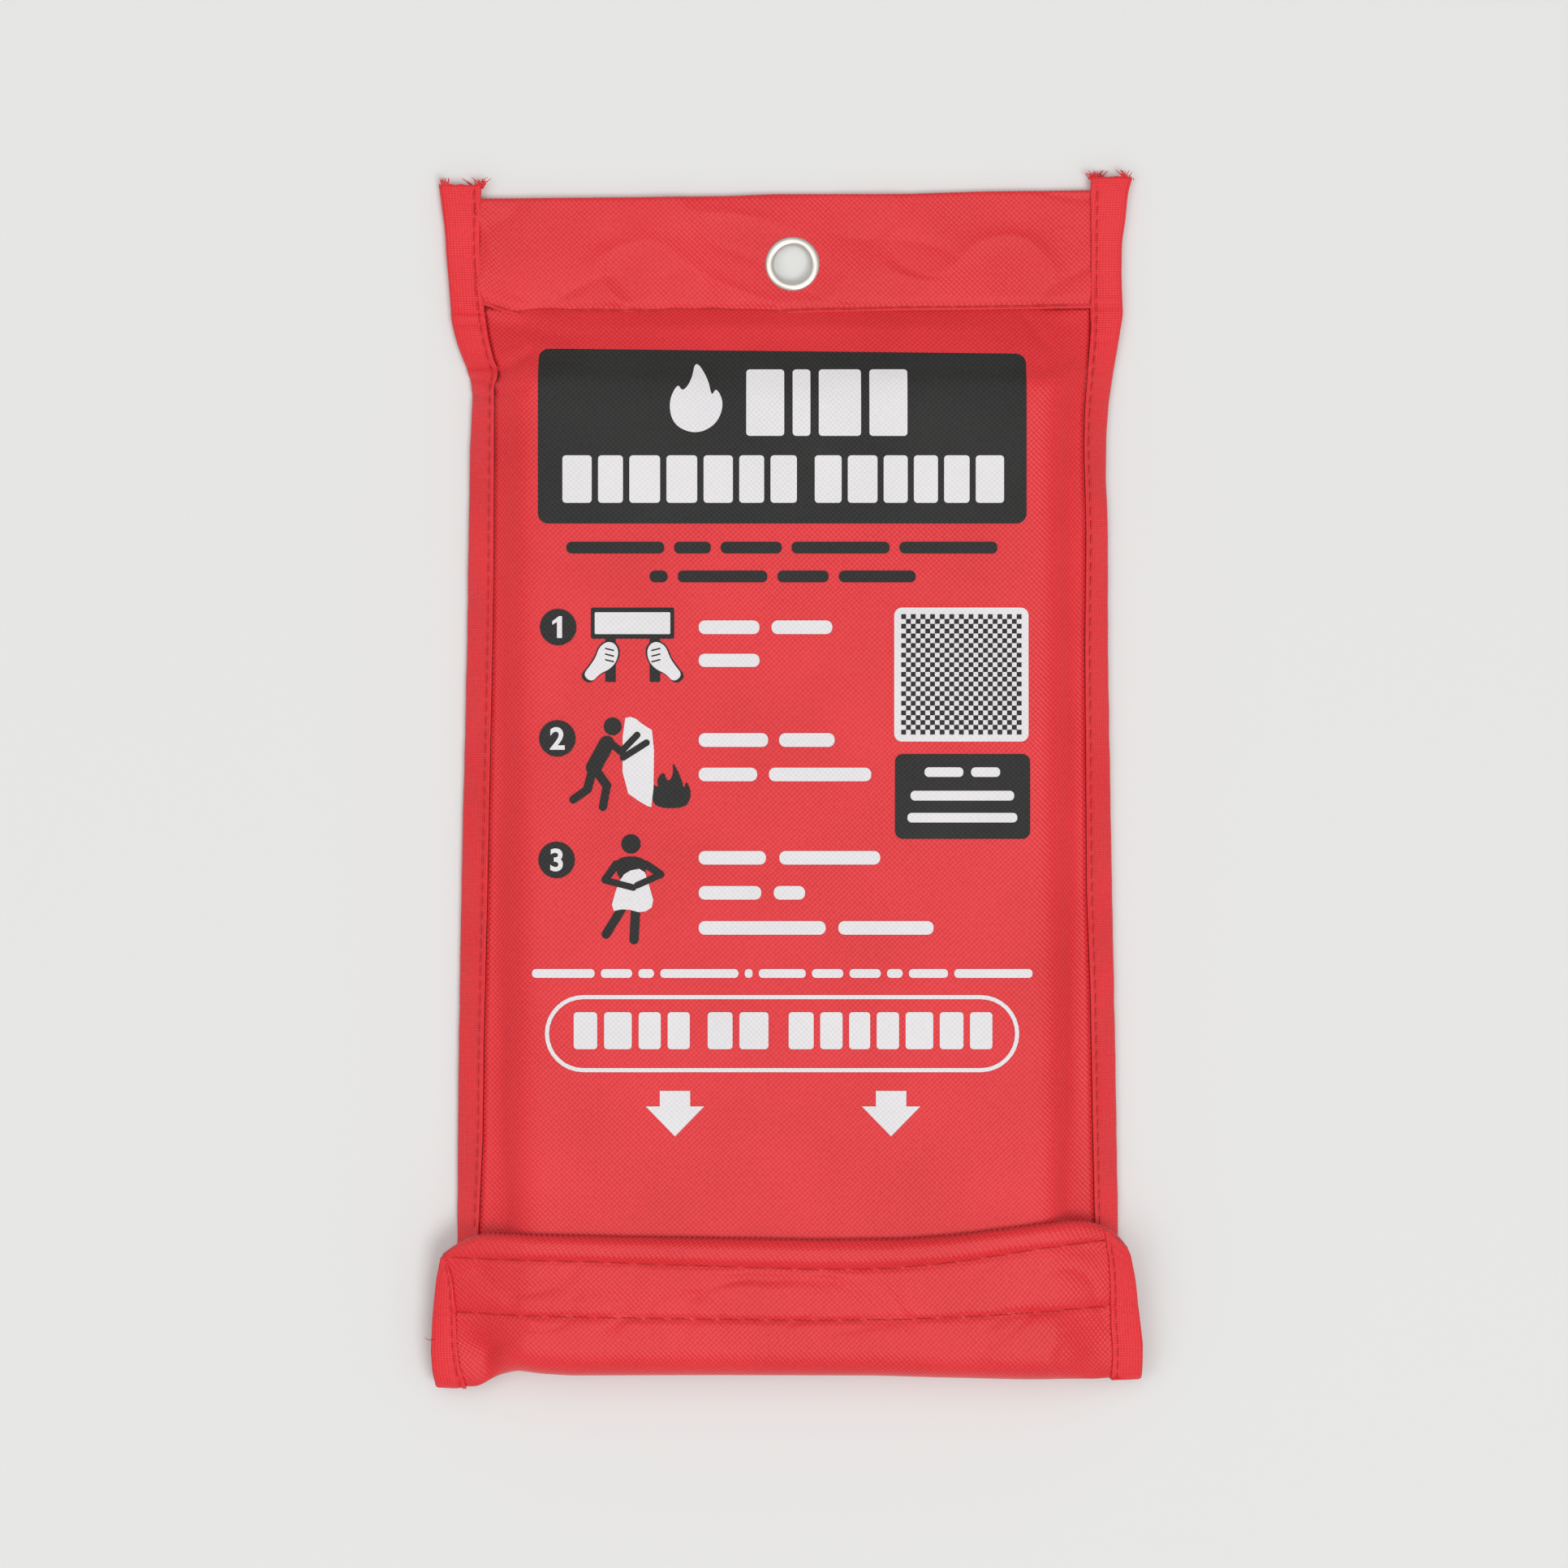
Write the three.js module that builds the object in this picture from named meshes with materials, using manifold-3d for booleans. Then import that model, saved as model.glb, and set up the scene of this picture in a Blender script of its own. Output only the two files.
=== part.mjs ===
// Fire blanket in its soft hanging pouch, lying on its back.
// Millimetres. +Y points to the hanging eyelet, +Z out of the printed front.
// The origin is the centre of the footprint on the table.

import * as THREE from 'three';
import Module from 'manifold-3d';

const wasm = await Module();
wasm.setup();
const { Manifold, Mesh } = wasm;

// Cloth, webbing and stacking
const cloth = 0.5;
const tapePly = 0.4;
const webbing = 1.0;
const hookThickness = 0.8;
const threadWidth = 0.7;
const threadHeight = 0.3;
const gap = 0.1;
const layerPitch = cloth + gap;

// Pouch, seen from the front
const bottomEnd = -154.7;
const mouthEdge = -152.3;
const headerLow = 120.2;
const headerTop = 152.3;
const tapeTop = 156.1;
const frontTop = 122.7;
const shoulder = 99.7;
const seamHalfHeader = 79.3;
const seamHalfWaist = 75.6;
const seamHalfFoot = 79;
const edgeHalfHeader = 89;
const edgeHalfWaist = 82.3;
const edgeHalfFoot = 85.1;
const curveWidth = 10;
const crownStart = frontTop - 3;
const crownRun = 20;
const backRun = 12;
const closeRow = 2.5;
const wideRow = 10.5;

// Side tapes and their seams
const tapeRiseBody = 0.35;
const tapeRiseHeader = 0.95;
const tapeRiseStart = shoulder + 4;
const tapeRiseRun = 12;
const tapeUnder = 1.15;
const tapeBevel = 0.3;
const seamThreadInset = 1.3;

// Heights above the table
const headerCentre = 1.85;
const crownHeight = 13.95;
const seamHeight = 7.3;
const edgeHeight = 1.5;
const backHeight = cloth / 2;
const flapHeight = 16.65;
const flapDrop = 9;
const flapFlatHalf = 66;

// Flap
const flapTop = -118.3;
const flapSeamHalf = 84;
const flapEdgeTop = 88.6;
const flapEdgeBottom = 91.5;
const flapCorner = 5;
const hemLow = -126.2;
const hookLow = -139.6;
const hookHigh = -126.5;
const hookHalf = 78;

// Blanket, folded seven by four from a square of one metre
const blanketHalf = 70.5;
const blanketLow = 1.6;
const blanketHigh = 13.4;
const blanketBottom = -152.3;
const blanketTop = 96.7;
const blanketRound = 7;
const blanketRim = 2;

// Pull tabs
const tabCentre = 45;
const tabHalf = 12.5;
const tabTip = -123.3;
const tabPivotY = -153.7;
const tabPivotZ = 8.1;
const tabTopLow = 14.4;
const anchorDepth = 32;
const anchorZ = 7.5;
const anchorGap = 0.3;

// Eyelet
const eyeletX = 1.5;
const eyeletY = 132.8;
const eyeletHole = 4.85;
const eyeletBarrel = 5.35;
const eyeletFlange = 7.15;
const clothHole = 5.6;
const flangeRim = 0.1;
const flangeRise = 0.85;
const barrelLow = 0.15;
const washerLow = 0.25;
const washerPlay = 0.06;
const contactGap = 0.05;

const smooth = (t) => {
  const c = Math.min(1, Math.max(0, t));
  return c * c * (3 - 2 * c);
};
const mix = (a, b, t) => a + (b - a) * t;
const fromHeader = (y) => smooth((frontTop - y) / (frontTop - shoulder));
const towardFoot = (y) => smooth((shoulder - y) / (shoulder - bottomEnd));

const seamX = (y) => {
  const low = mix(seamHalfWaist, seamHalfFoot, towardFoot(y));
  return mix(seamHalfHeader, low, fromHeader(y));
};
const edgeX = (y) => {
  const low = mix(edgeHalfWaist, edgeHalfFoot, towardFoot(y));
  return mix(edgeHalfHeader, low, fromHeader(y));
};
const seamZ = (y) => mix(headerCentre, seamHeight, fromHeader(y));
const edgeZ = (y) => mix(headerCentre, edgeHeight, fromHeader(y));
const crownZ = (y) => mix(headerCentre, crownHeight, smooth((crownStart - y) / crownRun));
const floorZ = (y) => {
  const t = smooth((y - frontTop + backRun) / backRun);
  return mix(backHeight, headerCentre - layerPitch, t);
};

// Middle of the stack of layers between the seam and the outer edge
const stackZ = (x, y) => {
  const t = (Math.abs(x) - seamX(y)) / (edgeX(y) - seamX(y));
  return mix(seamZ(y), edgeZ(y), t);
};
const curveShare = (x, y) => {
  const t = (Math.abs(x) - seamX(y) + curveWidth) / curveWidth;
  return Math.max(0, t) ** 1.5;
};
const frontZ = (x, y) => {
  if (Math.abs(x) >= seamX(y)) return stackZ(x, y);
  return mix(crownZ(y), seamZ(y), curveShare(x, y));
};
const backZ = (x, y) => {
  if (Math.abs(x) >= seamX(y)) return stackZ(x, y) - layerPitch;
  return mix(floorZ(y), seamZ(y) - layerPitch, curveShare(x, y));
};

const flapShare = (y) => (flapTop - y) / (flapTop - bottomEnd);
const flapEdge = (y) => mix(flapEdgeTop, flapEdgeBottom, smooth(flapShare(y)));
const flapZ = (x) => {
  const t = Math.max(0, Math.abs(x) - flapFlatHalf) / (flapEdgeBottom - flapFlatHalf);
  return flapHeight - flapDrop * t ** 1.3;
};
const flapTopEdge = (x) => {
  const t = Math.max(0, Math.abs(x) - 80) / (flapEdgeTop - 80);
  return flapTop - flapCorner * t * t;
};

// Closed solid between two grids of points that run over the same cells.
// Cells of a crossed column are split along their other diagonal.
function shell(columns, rows, outer, inner, crossed = () => false) {
  const points = [];
  for (const side of [outer, inner]) {
    for (let j = 0; j <= rows; j++) {
      for (let i = 0; i <= columns; i++) points.push(...side(i, j));
    }
  }
  const width = columns + 1;
  const layer = width * (rows + 1);
  const at = (side, i, j) => side * layer + j * width + i;
  const faces = [];
  const quad = (a, b, c, d) => faces.push(a, b, c, a, c, d);
  const crossedQuad = (a, b, c, d) => quad(b, c, d, a);
  for (let j = 0; j < rows; j++) {
    for (let i = 0; i < columns; i++) {
      const cell = crossed(i) ? crossedQuad : quad;
      cell(at(0, i, j), at(0, i + 1, j), at(0, i + 1, j + 1), at(0, i, j + 1));
      cell(at(1, i, j), at(1, i, j + 1), at(1, i + 1, j + 1), at(1, i + 1, j));
    }
    quad(at(0, 0, j), at(0, 0, j + 1), at(1, 0, j + 1), at(1, 0, j));
    quad(at(0, columns, j), at(1, columns, j), at(1, columns, j + 1), at(0, columns, j + 1));
  }
  for (let i = 0; i < columns; i++) {
    quad(at(0, i, 0), at(1, i, 0), at(1, i + 1, 0), at(0, i + 1, 0));
    quad(at(0, i, rows), at(0, i + 1, rows), at(1, i + 1, rows), at(1, i, rows));
  }
  const geometry = new THREE.BufferGeometry();
  geometry.setAttribute('position', new THREE.Float32BufferAttribute(points, 3));
  geometry.setIndex(faces);
  return geometry;
}

// Cloth of even thickness over a surface point(i, j) = [x, y, middle height].
function layerOf(columns, rows, thickness, point) {
  const moved = (dz) => (i, j) => {
    const [x, y, z] = point(i, j);
    return [x, y, z + dz];
  };
  return shell(columns, rows, moved(thickness / 2), moved(-thickness / 2));
}

function toManifold(geometry) {
  const vertProperties = new Float32Array(geometry.attributes.position.array);
  const triVerts = new Uint32Array(geometry.index.array);
  const mesh = new Mesh({ numProp: 3, vertProperties, triVerts });
  mesh.merge();
  return new Manifold(mesh);
}

function toGeometry(solid) {
  const mesh = solid.getMesh();
  const geometry = new THREE.BufferGeometry();
  const positions = new THREE.BufferAttribute(mesh.vertProperties, 3);
  geometry.setAttribute('position', positions);
  geometry.setIndex(new THREE.BufferAttribute(mesh.triVerts, 1));
  return geometry;
}

// Positions across the pouch: flat middle, curve up to the seam, seam allowance.
const flatCells = 4;
const curveCells = 5;
const allowanceCells = 1;
const halfCells = flatCells + curveCells + allowanceCells;
const acrossPouch = (i, y) => {
  const k = Math.abs(i - halfCells);
  const side = Math.sign(i - halfCells);
  const flat = seamX(y) - curveWidth;
  if (k <= flatCells) return side * mix(0, flat, k / flatCells);
  if (k <= flatCells + curveCells) {
    return side * mix(flat, seamX(y), (k - flatCells) / curveCells);
  }
  return side * (edgeX(y) - cloth);
};

// Rows along the pouch, which all layers share, lie closer where it rises to the header.
const stations = [bottomEnd];
while (stations[stations.length - 1] < tapeTop) {
  const last = stations[stations.length - 1];
  const rises = last > shoulder - 8 && last < frontTop;
  stations.push(last + (rises ? closeRow : wideRow));
}
function rowsBetween(low, high) {
  return [low, ...stations.filter((y) => y > low + 0.5 && y < high - 0.5), high];
}

function pouchPanel(low, high, height) {
  const rows = rowsBetween(low, high);
  return layerOf(2 * halfCells, rows.length - 1, cloth, (i, j) => {
    const x = acrossPouch(i, rows[j]);
    return [x, rows[j], height(x, rows[j])];
  });
}

const holeTool = Manifold.cylinder(20, clothHole, clothHole, 40)
  .translate([eyeletX, eyeletY, -5]);

const backPanel = toGeometry(
  toManifold(pouchPanel(bottomEnd, headerTop, backZ)).subtract(holeTool),
);
const frontPanel = pouchPanel(mouthEdge, frontTop, frontZ);

// The back cloth is turned over the top and comes down the front of the header.
const facingTurn = [
  [headerTop, layerPitch],
  [headerTop + 0.9, layerPitch * 0.7],
  [headerTop + 1.2, 0],
  [headerTop + 0.9, -layerPitch * 0.8],
];
const facingFlat = rowsBetween(headerLow, headerTop - 0.8);
const facingFlatRows = facingFlat.length - 1;
function facingPoint(i, j, offset) {
  if (j <= facingFlatRows) {
    const y = facingFlat[j];
    const x = acrossPouch(i, y);
    return [x, y, frontZ(x, y) + layerPitch + offset];
  }
  const [y, rise] = facingTurn[j - facingFlatRows - 1];
  const turn = ((j - facingFlatRows - 1) / (facingTurn.length - 1)) * Math.PI * 0.75;
  const x = acrossPouch(i, headerTop);
  const out = [Math.sin(turn) * offset, Math.cos(turn) * offset];
  return [x, y + out[0], headerCentre + rise + out[1]];
}
const facingSheet = shell(
  2 * halfCells,
  facingFlatRows + facingTurn.length,
  (i, j) => facingPoint(i, j, cloth / 2),
  (i, j) => facingPoint(i, j, -cloth / 2),
);
const headerFacing = toGeometry(toManifold(facingSheet).subtract(holeTool));

// Side tape folded over the edges of the layers, as a U that opens inwards.
const tapeTopOffset = (y) => {
  const t = smooth((y - tapeRiseStart) / tapeRiseRun);
  return mix(tapeRiseBody, tapeRiseHeader, t);
};
function tapePoint(side, i, y, offset) {
  const inner = seamX(y) + 0.05;
  const outer = edgeX(y);
  const top = tapeTopOffset(y) + tapePly / 2 + offset;
  const bottom = -(tapeUnder + offset);
  const path = [
    [inner, top],
    [outer - tapeBevel, top],
    [outer + offset, top * 0.4],
    [outer + offset, bottom * 0.4],
    [outer - tapeBevel, bottom],
    [inner, bottom],
  ];
  const [x, rise] = path[i];
  return [side * x, y, stackZ(x, y) + rise];
}
function sideTape(side) {
  const rows = rowsBetween(bottomEnd, tapeTop);
  const order = (i) => (side > 0 ? i : 5 - i);
  return shell(
    5,
    rows.length - 1,
    (i, j) => tapePoint(side, order(i), rows[j], tapePly / 2),
    (i, j) => tapePoint(side, order(i), rows[j], -tapePly / 2),
    (i) => order(i) === (side > 0 ? 4 : 5),
  );
}

// Hook-and-loop: loop patches on the front, one hook strip inside the flap.
function loopPatch(left, right) {
  return layerOf(6, 4, hookThickness, (i, j) => {
    const x = mix(left, right, i / 6);
    const y = mix(hookLow, hookHigh, j / 4);
    return [x, y, frontZ(x, y) + cloth / 2 + gap + hookThickness / 2];
  });
}

// Positions across the flap follow its flat middle and its drooping sides.
const flapCells = 11;
const acrossFlap = (i, half) => {
  const k = Math.abs(i - flapCells);
  const side = Math.sign(i - flapCells);
  if (k <= 3) return (side * flapFlatHalf * k) / 3;
  return side * mix(flapFlatHalf, half, (k - 3) / (flapCells - 3));
};
// Point i of a row across the flap, which widens towards the bottom end.
function flapPoint(i, half, rowAt, rise) {
  const x = acrossFlap(i, half);
  const y = rowAt(x);
  const wider = (flapEdge(y) - 0.6) / (flapEdgeTop - 0.6);
  const spread = mix(1, wider, smooth((Math.abs(x) - 70) / 15));
  return [x * spread, y, flapZ(x) + rise];
}
const flapRows = 8;
const flapLayerGap = 0.15;
const flapPanel = layerOf(2 * flapCells, flapRows, cloth, (i, j) =>
  flapPoint(i, flapEdgeTop - 0.6, (x) => mix(bottomEnd, flapTopEdge(x), j / flapRows), 0),
);
const hookStrip = layerOf(2 * flapCells, 2, hookThickness, (i, j) =>
  flapPoint(i, hookHalf, () => mix(hookLow, hookHigh, j / 2), -flapLayerGap - (cloth + hookThickness) / 2),
);
const flapHem = layerOf(2 * flapCells, 2, cloth, (i, j) =>
  flapPoint(i, hookHalf + 4, (x) => mix(hemLow, flapTopEdge(x) - 0.4, j / 2), -flapLayerGap - cloth),
);

function flapTape(side) {
  const rows = 6;
  const point = (offset) => (i, j) => {
    const k = side > 0 ? i : 5 - i;
    const y = mix(bottomEnd, flapTop - flapCorner - 0.4, j / rows);
    const outer = flapEdge(y) + 0.1;
    const reach = [flapSeamHalf, outer - 0.4, outer + offset, outer + offset, outer - 0.4, flapSeamHalf];
    const level = 0.4 + tapePly / 2 + offset;
    const rise = [level, level, level * 0.4, -level * 0.4, -level, -level][k];
    return [side * reach[k], y, flapZ((reach[k] * flapEdgeTop) / outer) + rise];
  };
  return shell(5, rows, point(tapePly / 2), point(-tapePly / 2));
}

// Cloth that goes up round the bottom end, from the back to the flap.
const foldRows = 6;
const foldMiddle = bottomEnd - gap - cloth / 2;
function foldPoint(i, j, offset) {
  const t = j / foldRows;
  const half = mix(seamHalfFoot, flapSeamHalf, t) - cloth;
  const share = (i - flapCells) / flapCells;
  const x = share * half;
  const low = backZ(Math.min(Math.abs(x), seamHalfFoot), bottomEnd);
  const z = mix(low, flapZ(x), t);
  return [x, foldMiddle - offset, z];
}
const foldStrip = shell(
  2 * flapCells,
  foldRows,
  (i, j) => foldPoint(i, j, cloth / 2),
  (i, j) => foldPoint(i, j, -cloth / 2),
);

function foldTape(side) {
  const half = tapePly + cloth / 2;
  const point = (offset) => (i, j) => {
    const t = j / foldRows;
    const k = side > 0 ? i / 2 : 1 - i / 2;
    const inner = [
      mix(seamHalfFoot, flapSeamHalf, t),
      mix(seamHeight - layerPitch, flapZ(flapSeamHalf), t),
    ];
    const outer = [mix(edgeHalfFoot, flapEdgeBottom, t), mix(edgeHeight, flapZ(flapEdgeTop), t)];
    const x = mix(inner[0], outer[0], k);
    const z = mix(inner[1], outer[1], k);
    return [side * x, bottomEnd - gap - half - offset, z];
  };
  return shell(2, foldRows, point(half), point(-half));
}

// Folded blanket: a flat block of cloth with rounded edges.
function blanketBlock() {
  const inset = [0, 0.1, 0.3, 0.6, 1].map((share) => share * blanketRound);
  const along = (low, high, count) => {
    const values = inset.map((d) => low + d);
    const first = low + blanketRound;
    const last = high - blanketRound;
    for (let k = 1; k < count; k++) values.push(mix(first, last, k / count));
    return values.concat(inset.map((d) => high - d).reverse());
  };
  const xs = along(-blanketHalf, blanketHalf, 4);
  const ys = along(blanketBottom, blanketTop, 6);
  const middle = (blanketLow + blanketHigh) / 2;
  const swell = (blanketHigh - blanketLow) / 2 - blanketRim;
  const edgeShare = (value, low, high) => {
    const d = Math.min(value - low, high - value) / blanketRound;
    return Math.sqrt(Math.max(0, 1 - (1 - Math.min(1, d)) ** 2));
  };
  const height = (x, y) => {
    const shareX = edgeShare(x, -blanketHalf, blanketHalf);
    const shareY = edgeShare(y, blanketBottom, blanketTop);
    return blanketRim + swell * Math.min(shareX, shareY);
  };
  const face = (way) => (i, j) => [xs[i], ys[j], middle + way * height(xs[i], ys[j])];
  return shell(xs.length - 1, ys.length - 1, face(1), face(-1));
}
const box = (x0, x1, y0, y1, z0, z1) =>
  Manifold.cube([x1 - x0, y1 - y0, z1 - z0]).translate([x0, y0, z0]);
let blanketSolid = toManifold(blanketBlock());
for (const side of [-1, 1]) {
  const reach = tabHalf + anchorGap;
  blanketSolid = blanketSolid.subtract(
    box(
      side * tabCentre - reach,
      side * tabCentre + reach,
      blanketBottom - 1,
      blanketBottom + anchorDepth + anchorGap,
      anchorZ - webbing / 2 - anchorGap,
      anchorZ + webbing / 2 + anchorGap,
    ),
  );
}
const foldedBlanket = toGeometry(blanketSolid);

function webbingPiece(x, y0, y1, z0, z1) {
  const geometry = new THREE.BoxGeometry(2 * tabHalf, y1 - y0, z1 - z0);
  return geometry.translate(x, (y0 + y1) / 2, (z0 + z1) / 2);
}

// Pull tab: up the blanket's end, then over the mouth and along the front.
function pullTab(x) {
  const low = tabPivotY - webbing / 2;
  const rise = tabTopLow - tabPivotZ;
  const turn = 0.9;
  const profile = new THREE.Shape();
  profile.moveTo(low, tabPivotZ - webbing / 2);
  profile.lineTo(low + webbing, tabPivotZ - webbing / 2);
  profile.lineTo(low + webbing, tabPivotZ + rise);
  profile.lineTo(tabTip, tabPivotZ + rise);
  profile.lineTo(tabTip, tabPivotZ + rise + webbing);
  profile.lineTo(low + turn, tabPivotZ + rise + webbing);
  profile.lineTo(low, tabPivotZ + rise + webbing - turn);
  profile.closePath();
  const geometry = new THREE.ExtrudeGeometry(profile, { depth: 2 * tabHalf, bevelEnabled: false });
  geometry.rotateY(Math.PI / 2);
  geometry.rotateX(Math.PI / 2);
  return geometry.translate(x - tabHalf, 0, 0);
}

// Rolled metal eyelet: a flanged barrel from the front and a washer behind.
function turned(profile) {
  const points = profile.map(([r, z]) => new THREE.Vector2(r, z));
  const geometry = new THREE.LatheGeometry([...points, points[0]], 48);
  return geometry.rotateX(Math.PI / 2).translate(eyeletX, eyeletY, 0);
}
const facingFront = headerCentre + layerPitch + cloth / 2;
const flangeLow = facingFront + contactGap;
const flangeHalf = (eyeletFlange - eyeletHole) / 2;
const flangeSteps = 10;
const flangeArc = [];
for (let k = 0; k <= flangeSteps; k++) {
  const angle = (Math.PI * k) / flangeSteps;
  flangeArc.push([
    eyeletHole + flangeHalf * (1 + Math.cos(angle)),
    flangeLow + flangeRim + flangeRise * Math.sin(angle),
  ]);
}
const eyelet = turned([
  [eyeletHole, barrelLow],
  [eyeletBarrel, barrelLow],
  [eyeletBarrel, flangeLow],
  [eyeletFlange, flangeLow],
  ...flangeArc,
]);
const washerHigh = headerCentre - layerPitch - cloth / 2 - contactGap;
const eyeletWasher = turned([
  [eyeletBarrel + washerPlay, washerLow],
  [eyeletFlange - 0.6, washerLow],
  [eyeletFlange, 2 * washerLow],
  [eyeletFlange, washerHigh],
  [eyeletBarrel + washerPlay, washerHigh],
]);

// Sewing thread, as a thin strip on top of the cloth that it holds.
const threadRow = (y, j) => y + (j - 0.5) * threadWidth;
function threadAcrossHeader(half, y) {
  return layerOf(2 * halfCells, 1, threadHeight, (i, j) => {
    const x = (acrossPouch(i, y) * half) / edgeX(y);
    return [x, threadRow(y, j), facingFront + contactGap + threadHeight / 2];
  });
}
function threadAcrossFlap(half, y) {
  const rise = (cloth + threadHeight) / 2 + flapLayerGap;
  return layerOf(2 * flapCells, 1, threadHeight, (i, j) =>
    flapPoint(i, half, () => threadRow(y, j), rise),
  );
}
function threadAlongTape(side) {
  const rows = rowsBetween(flapTop + 1, headerTop);
  return layerOf(1, rows.length - 1, threadHeight, (i, j) => {
    const y = rows[j];
    const x = seamX(y) + seamThreadInset + i * threadWidth;
    const way = side > 0 ? x : seamX(y) + seamThreadInset + (1 - i) * threadWidth;
    const top = tapeTopOffset(y) + tapePly + 0.2 + threadHeight / 2;
    return [side * way, y, stackZ(way, y) + top];
  });
}

const redCloth = { color: 0xcf333c, roughness: 0.62, metalness: 0 };
const redTape = { color: 0xc42a34, roughness: 0.7, metalness: 0 };
const redThread = { color: 0xb3232d, roughness: 0.6, metalness: 0 };
const nickel = { color: 0xc9c8c4, roughness: 0.22, metalness: 1 };
const redLoop = { color: 0xa8202a, roughness: 0.95, metalness: 0 };
const glassCloth = { color: 0xeeece4, roughness: 0.8, metalness: 0 };
const blackWebbing = { color: 0x1d1d1f, roughness: 0.75, metalness: 0 };

const pieces = [
  ['back_panel', backPanel, redCloth],
  ['front_panel', frontPanel, redCloth],
  ['header_facing', headerFacing, redCloth],
  ['left_tape', sideTape(-1), redTape],
  ['right_tape', sideTape(1), redTape],
  ['eyelet', eyelet, nickel],
  ['eyelet_washer', eyeletWasher, nickel],
  ['loop_patch_left', loopPatch(-68, -59), redLoop],
  ['loop_patch_centre', loopPatch(-29, 29), redLoop],
  ['loop_patch_right', loopPatch(59, 68), redLoop],
  ['header_thread', threadAcrossHeader(77.5, frontTop - 1), redThread],
  ['left_seam_thread', threadAlongTape(-1), redThread],
  ['right_seam_thread', threadAlongTape(1), redThread],
  ['fold_strip', foldStrip, redCloth],
  ['left_fold_tape', foldTape(-1), redTape],
  ['right_fold_tape', foldTape(1), redTape],
  ['flap_panel', flapPanel, redCloth],
  ['flap_hem', flapHem, redCloth],
  ['left_flap_tape', flapTape(-1), redTape],
  ['right_flap_tape', flapTape(1), redTape],
  ['hook_strip', hookStrip, redLoop],
  ['hem_thread', threadAcrossFlap(80, hemLow + 0.8), redThread],
  ['hook_thread', threadAcrossFlap(80, hookLow + 1.2), redThread],
  ['folded_blanket', foldedBlanket, glassCloth],
];
for (const [word, side] of [['left', -1], ['right', 1]]) {
  const x = side * tabCentre;
  const low = anchorZ - webbing / 2;
  const mouth = tabPivotY + webbing / 2 + anchorGap;
  const anchor = webbingPiece(x, mouth, blanketBottom + anchorDepth, low, low + webbing);
  pieces.push([`${word}_tab_anchor`, anchor, blackWebbing]);
  pieces.push([`${word}_pull_tab`, pullTab(x), blackWebbing]);
}

const group = new THREE.Group();
group.name = 'fire_blanket';
for (const [name, geometry, look] of pieces) {
  const mesh = new THREE.Mesh(geometry, new THREE.MeshStandardMaterial(look));
  mesh.name = name;
  group.add(mesh);
}

export default group;
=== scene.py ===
"""Fire blanket in its red hanging pouch, lying on its back. Lengths are in mm until a mesh is made."""

import math
import random

import bmesh
import bpy
import numpy as np
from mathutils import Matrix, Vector, noise
from mathutils.bvhtree import BVHTree


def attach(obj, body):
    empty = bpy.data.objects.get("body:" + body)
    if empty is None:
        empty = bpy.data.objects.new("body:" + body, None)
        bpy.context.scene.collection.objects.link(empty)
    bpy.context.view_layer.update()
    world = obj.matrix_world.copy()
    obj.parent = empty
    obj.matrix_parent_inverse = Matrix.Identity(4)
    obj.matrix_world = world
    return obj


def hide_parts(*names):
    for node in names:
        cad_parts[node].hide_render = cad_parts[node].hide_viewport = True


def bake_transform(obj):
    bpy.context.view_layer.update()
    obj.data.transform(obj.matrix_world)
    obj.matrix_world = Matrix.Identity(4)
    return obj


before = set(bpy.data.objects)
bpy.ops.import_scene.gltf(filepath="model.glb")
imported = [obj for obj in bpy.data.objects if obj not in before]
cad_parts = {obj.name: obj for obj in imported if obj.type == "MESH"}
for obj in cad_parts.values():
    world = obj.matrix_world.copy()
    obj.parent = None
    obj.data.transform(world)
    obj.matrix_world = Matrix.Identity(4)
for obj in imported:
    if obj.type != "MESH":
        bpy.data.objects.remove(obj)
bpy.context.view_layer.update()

MM = 0.001
CLOTH, TAPE, PLY = 0.5, 0.45, 0.5
HOLE, HOLE_RADIUS = (1.5, 132.8), 5.55
TAB_X, TAB_HALF = 45.0, 12.4
ACROSS = np.linspace(0, 1, 180)

# ---------------- outlines
# (y, x) for a line that runs up a side, (x, y) for one that runs across
LEFT_EDGE = [(157, -90.3), (153.6, -90.0), (142.9, -88.5), (130.9, -87.7), (122.9, -87.0), (118.5, -86.8),
             (112.2, -85.2), (106.1, -82.8), (101.5, -81.4), (97.9, -81.1), (86, -81.8), (74.7, -82.0),
             (32.7, -82.6), (-30.3, -84.1), (-81.3, -84.9), (-120.3, -85.1), (-154, -85.2)]
LEFT_SEAM = [(157, -79.3), (154.2, -79.3), (136.3, -79.8), (125.5, -79.2), (119.6, -78.4), (113.5, -77.2),
             (107.4, -75.5), (104.1, -74.0), (100.7, -75.4), (95.7, -75.3), (53.7, -75.5), (32.7, -75.8),
             (-30.3, -77.1), (-67.3, -78.0), (-93.3, -78.3), (-117.3, -79.3), (-154, -79.4)]
RIGHT_EDGE = [(157, 89.8), (155, 89.4), (152.3, 88.4), (145.6, 87.7), (138.9, 86.8), (131.5, 86.6),
              (122.9, 86.8), (120.6, 87.1), (115.8, 86.3), (109.7, 85.3), (103, 84.1), (95.8, 83.1),
              (89.5, 82.7), (78.7, 82.4), (65.7, 83.0), (32.7, 83.0), (-30.3, 84.1), (-76.3, 85.0),
              (-117.3, 85.6), (-154, 85.6)]
RIGHT_SEAM = [(157, 79.3), (152.9, 78.9), (133, 79.1), (122.9, 78.9), (116.2, 78.8), (108.4, 77.9),
              (95.8, 76.8), (86.2, 76.5), (64.7, 77.1), (32.7, 76.8), (-30.3, 77.3), (-55.3, 78.2),
              (-84.8, 78.7), (-114.3, 79.3), (-154, 79.3)]
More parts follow.
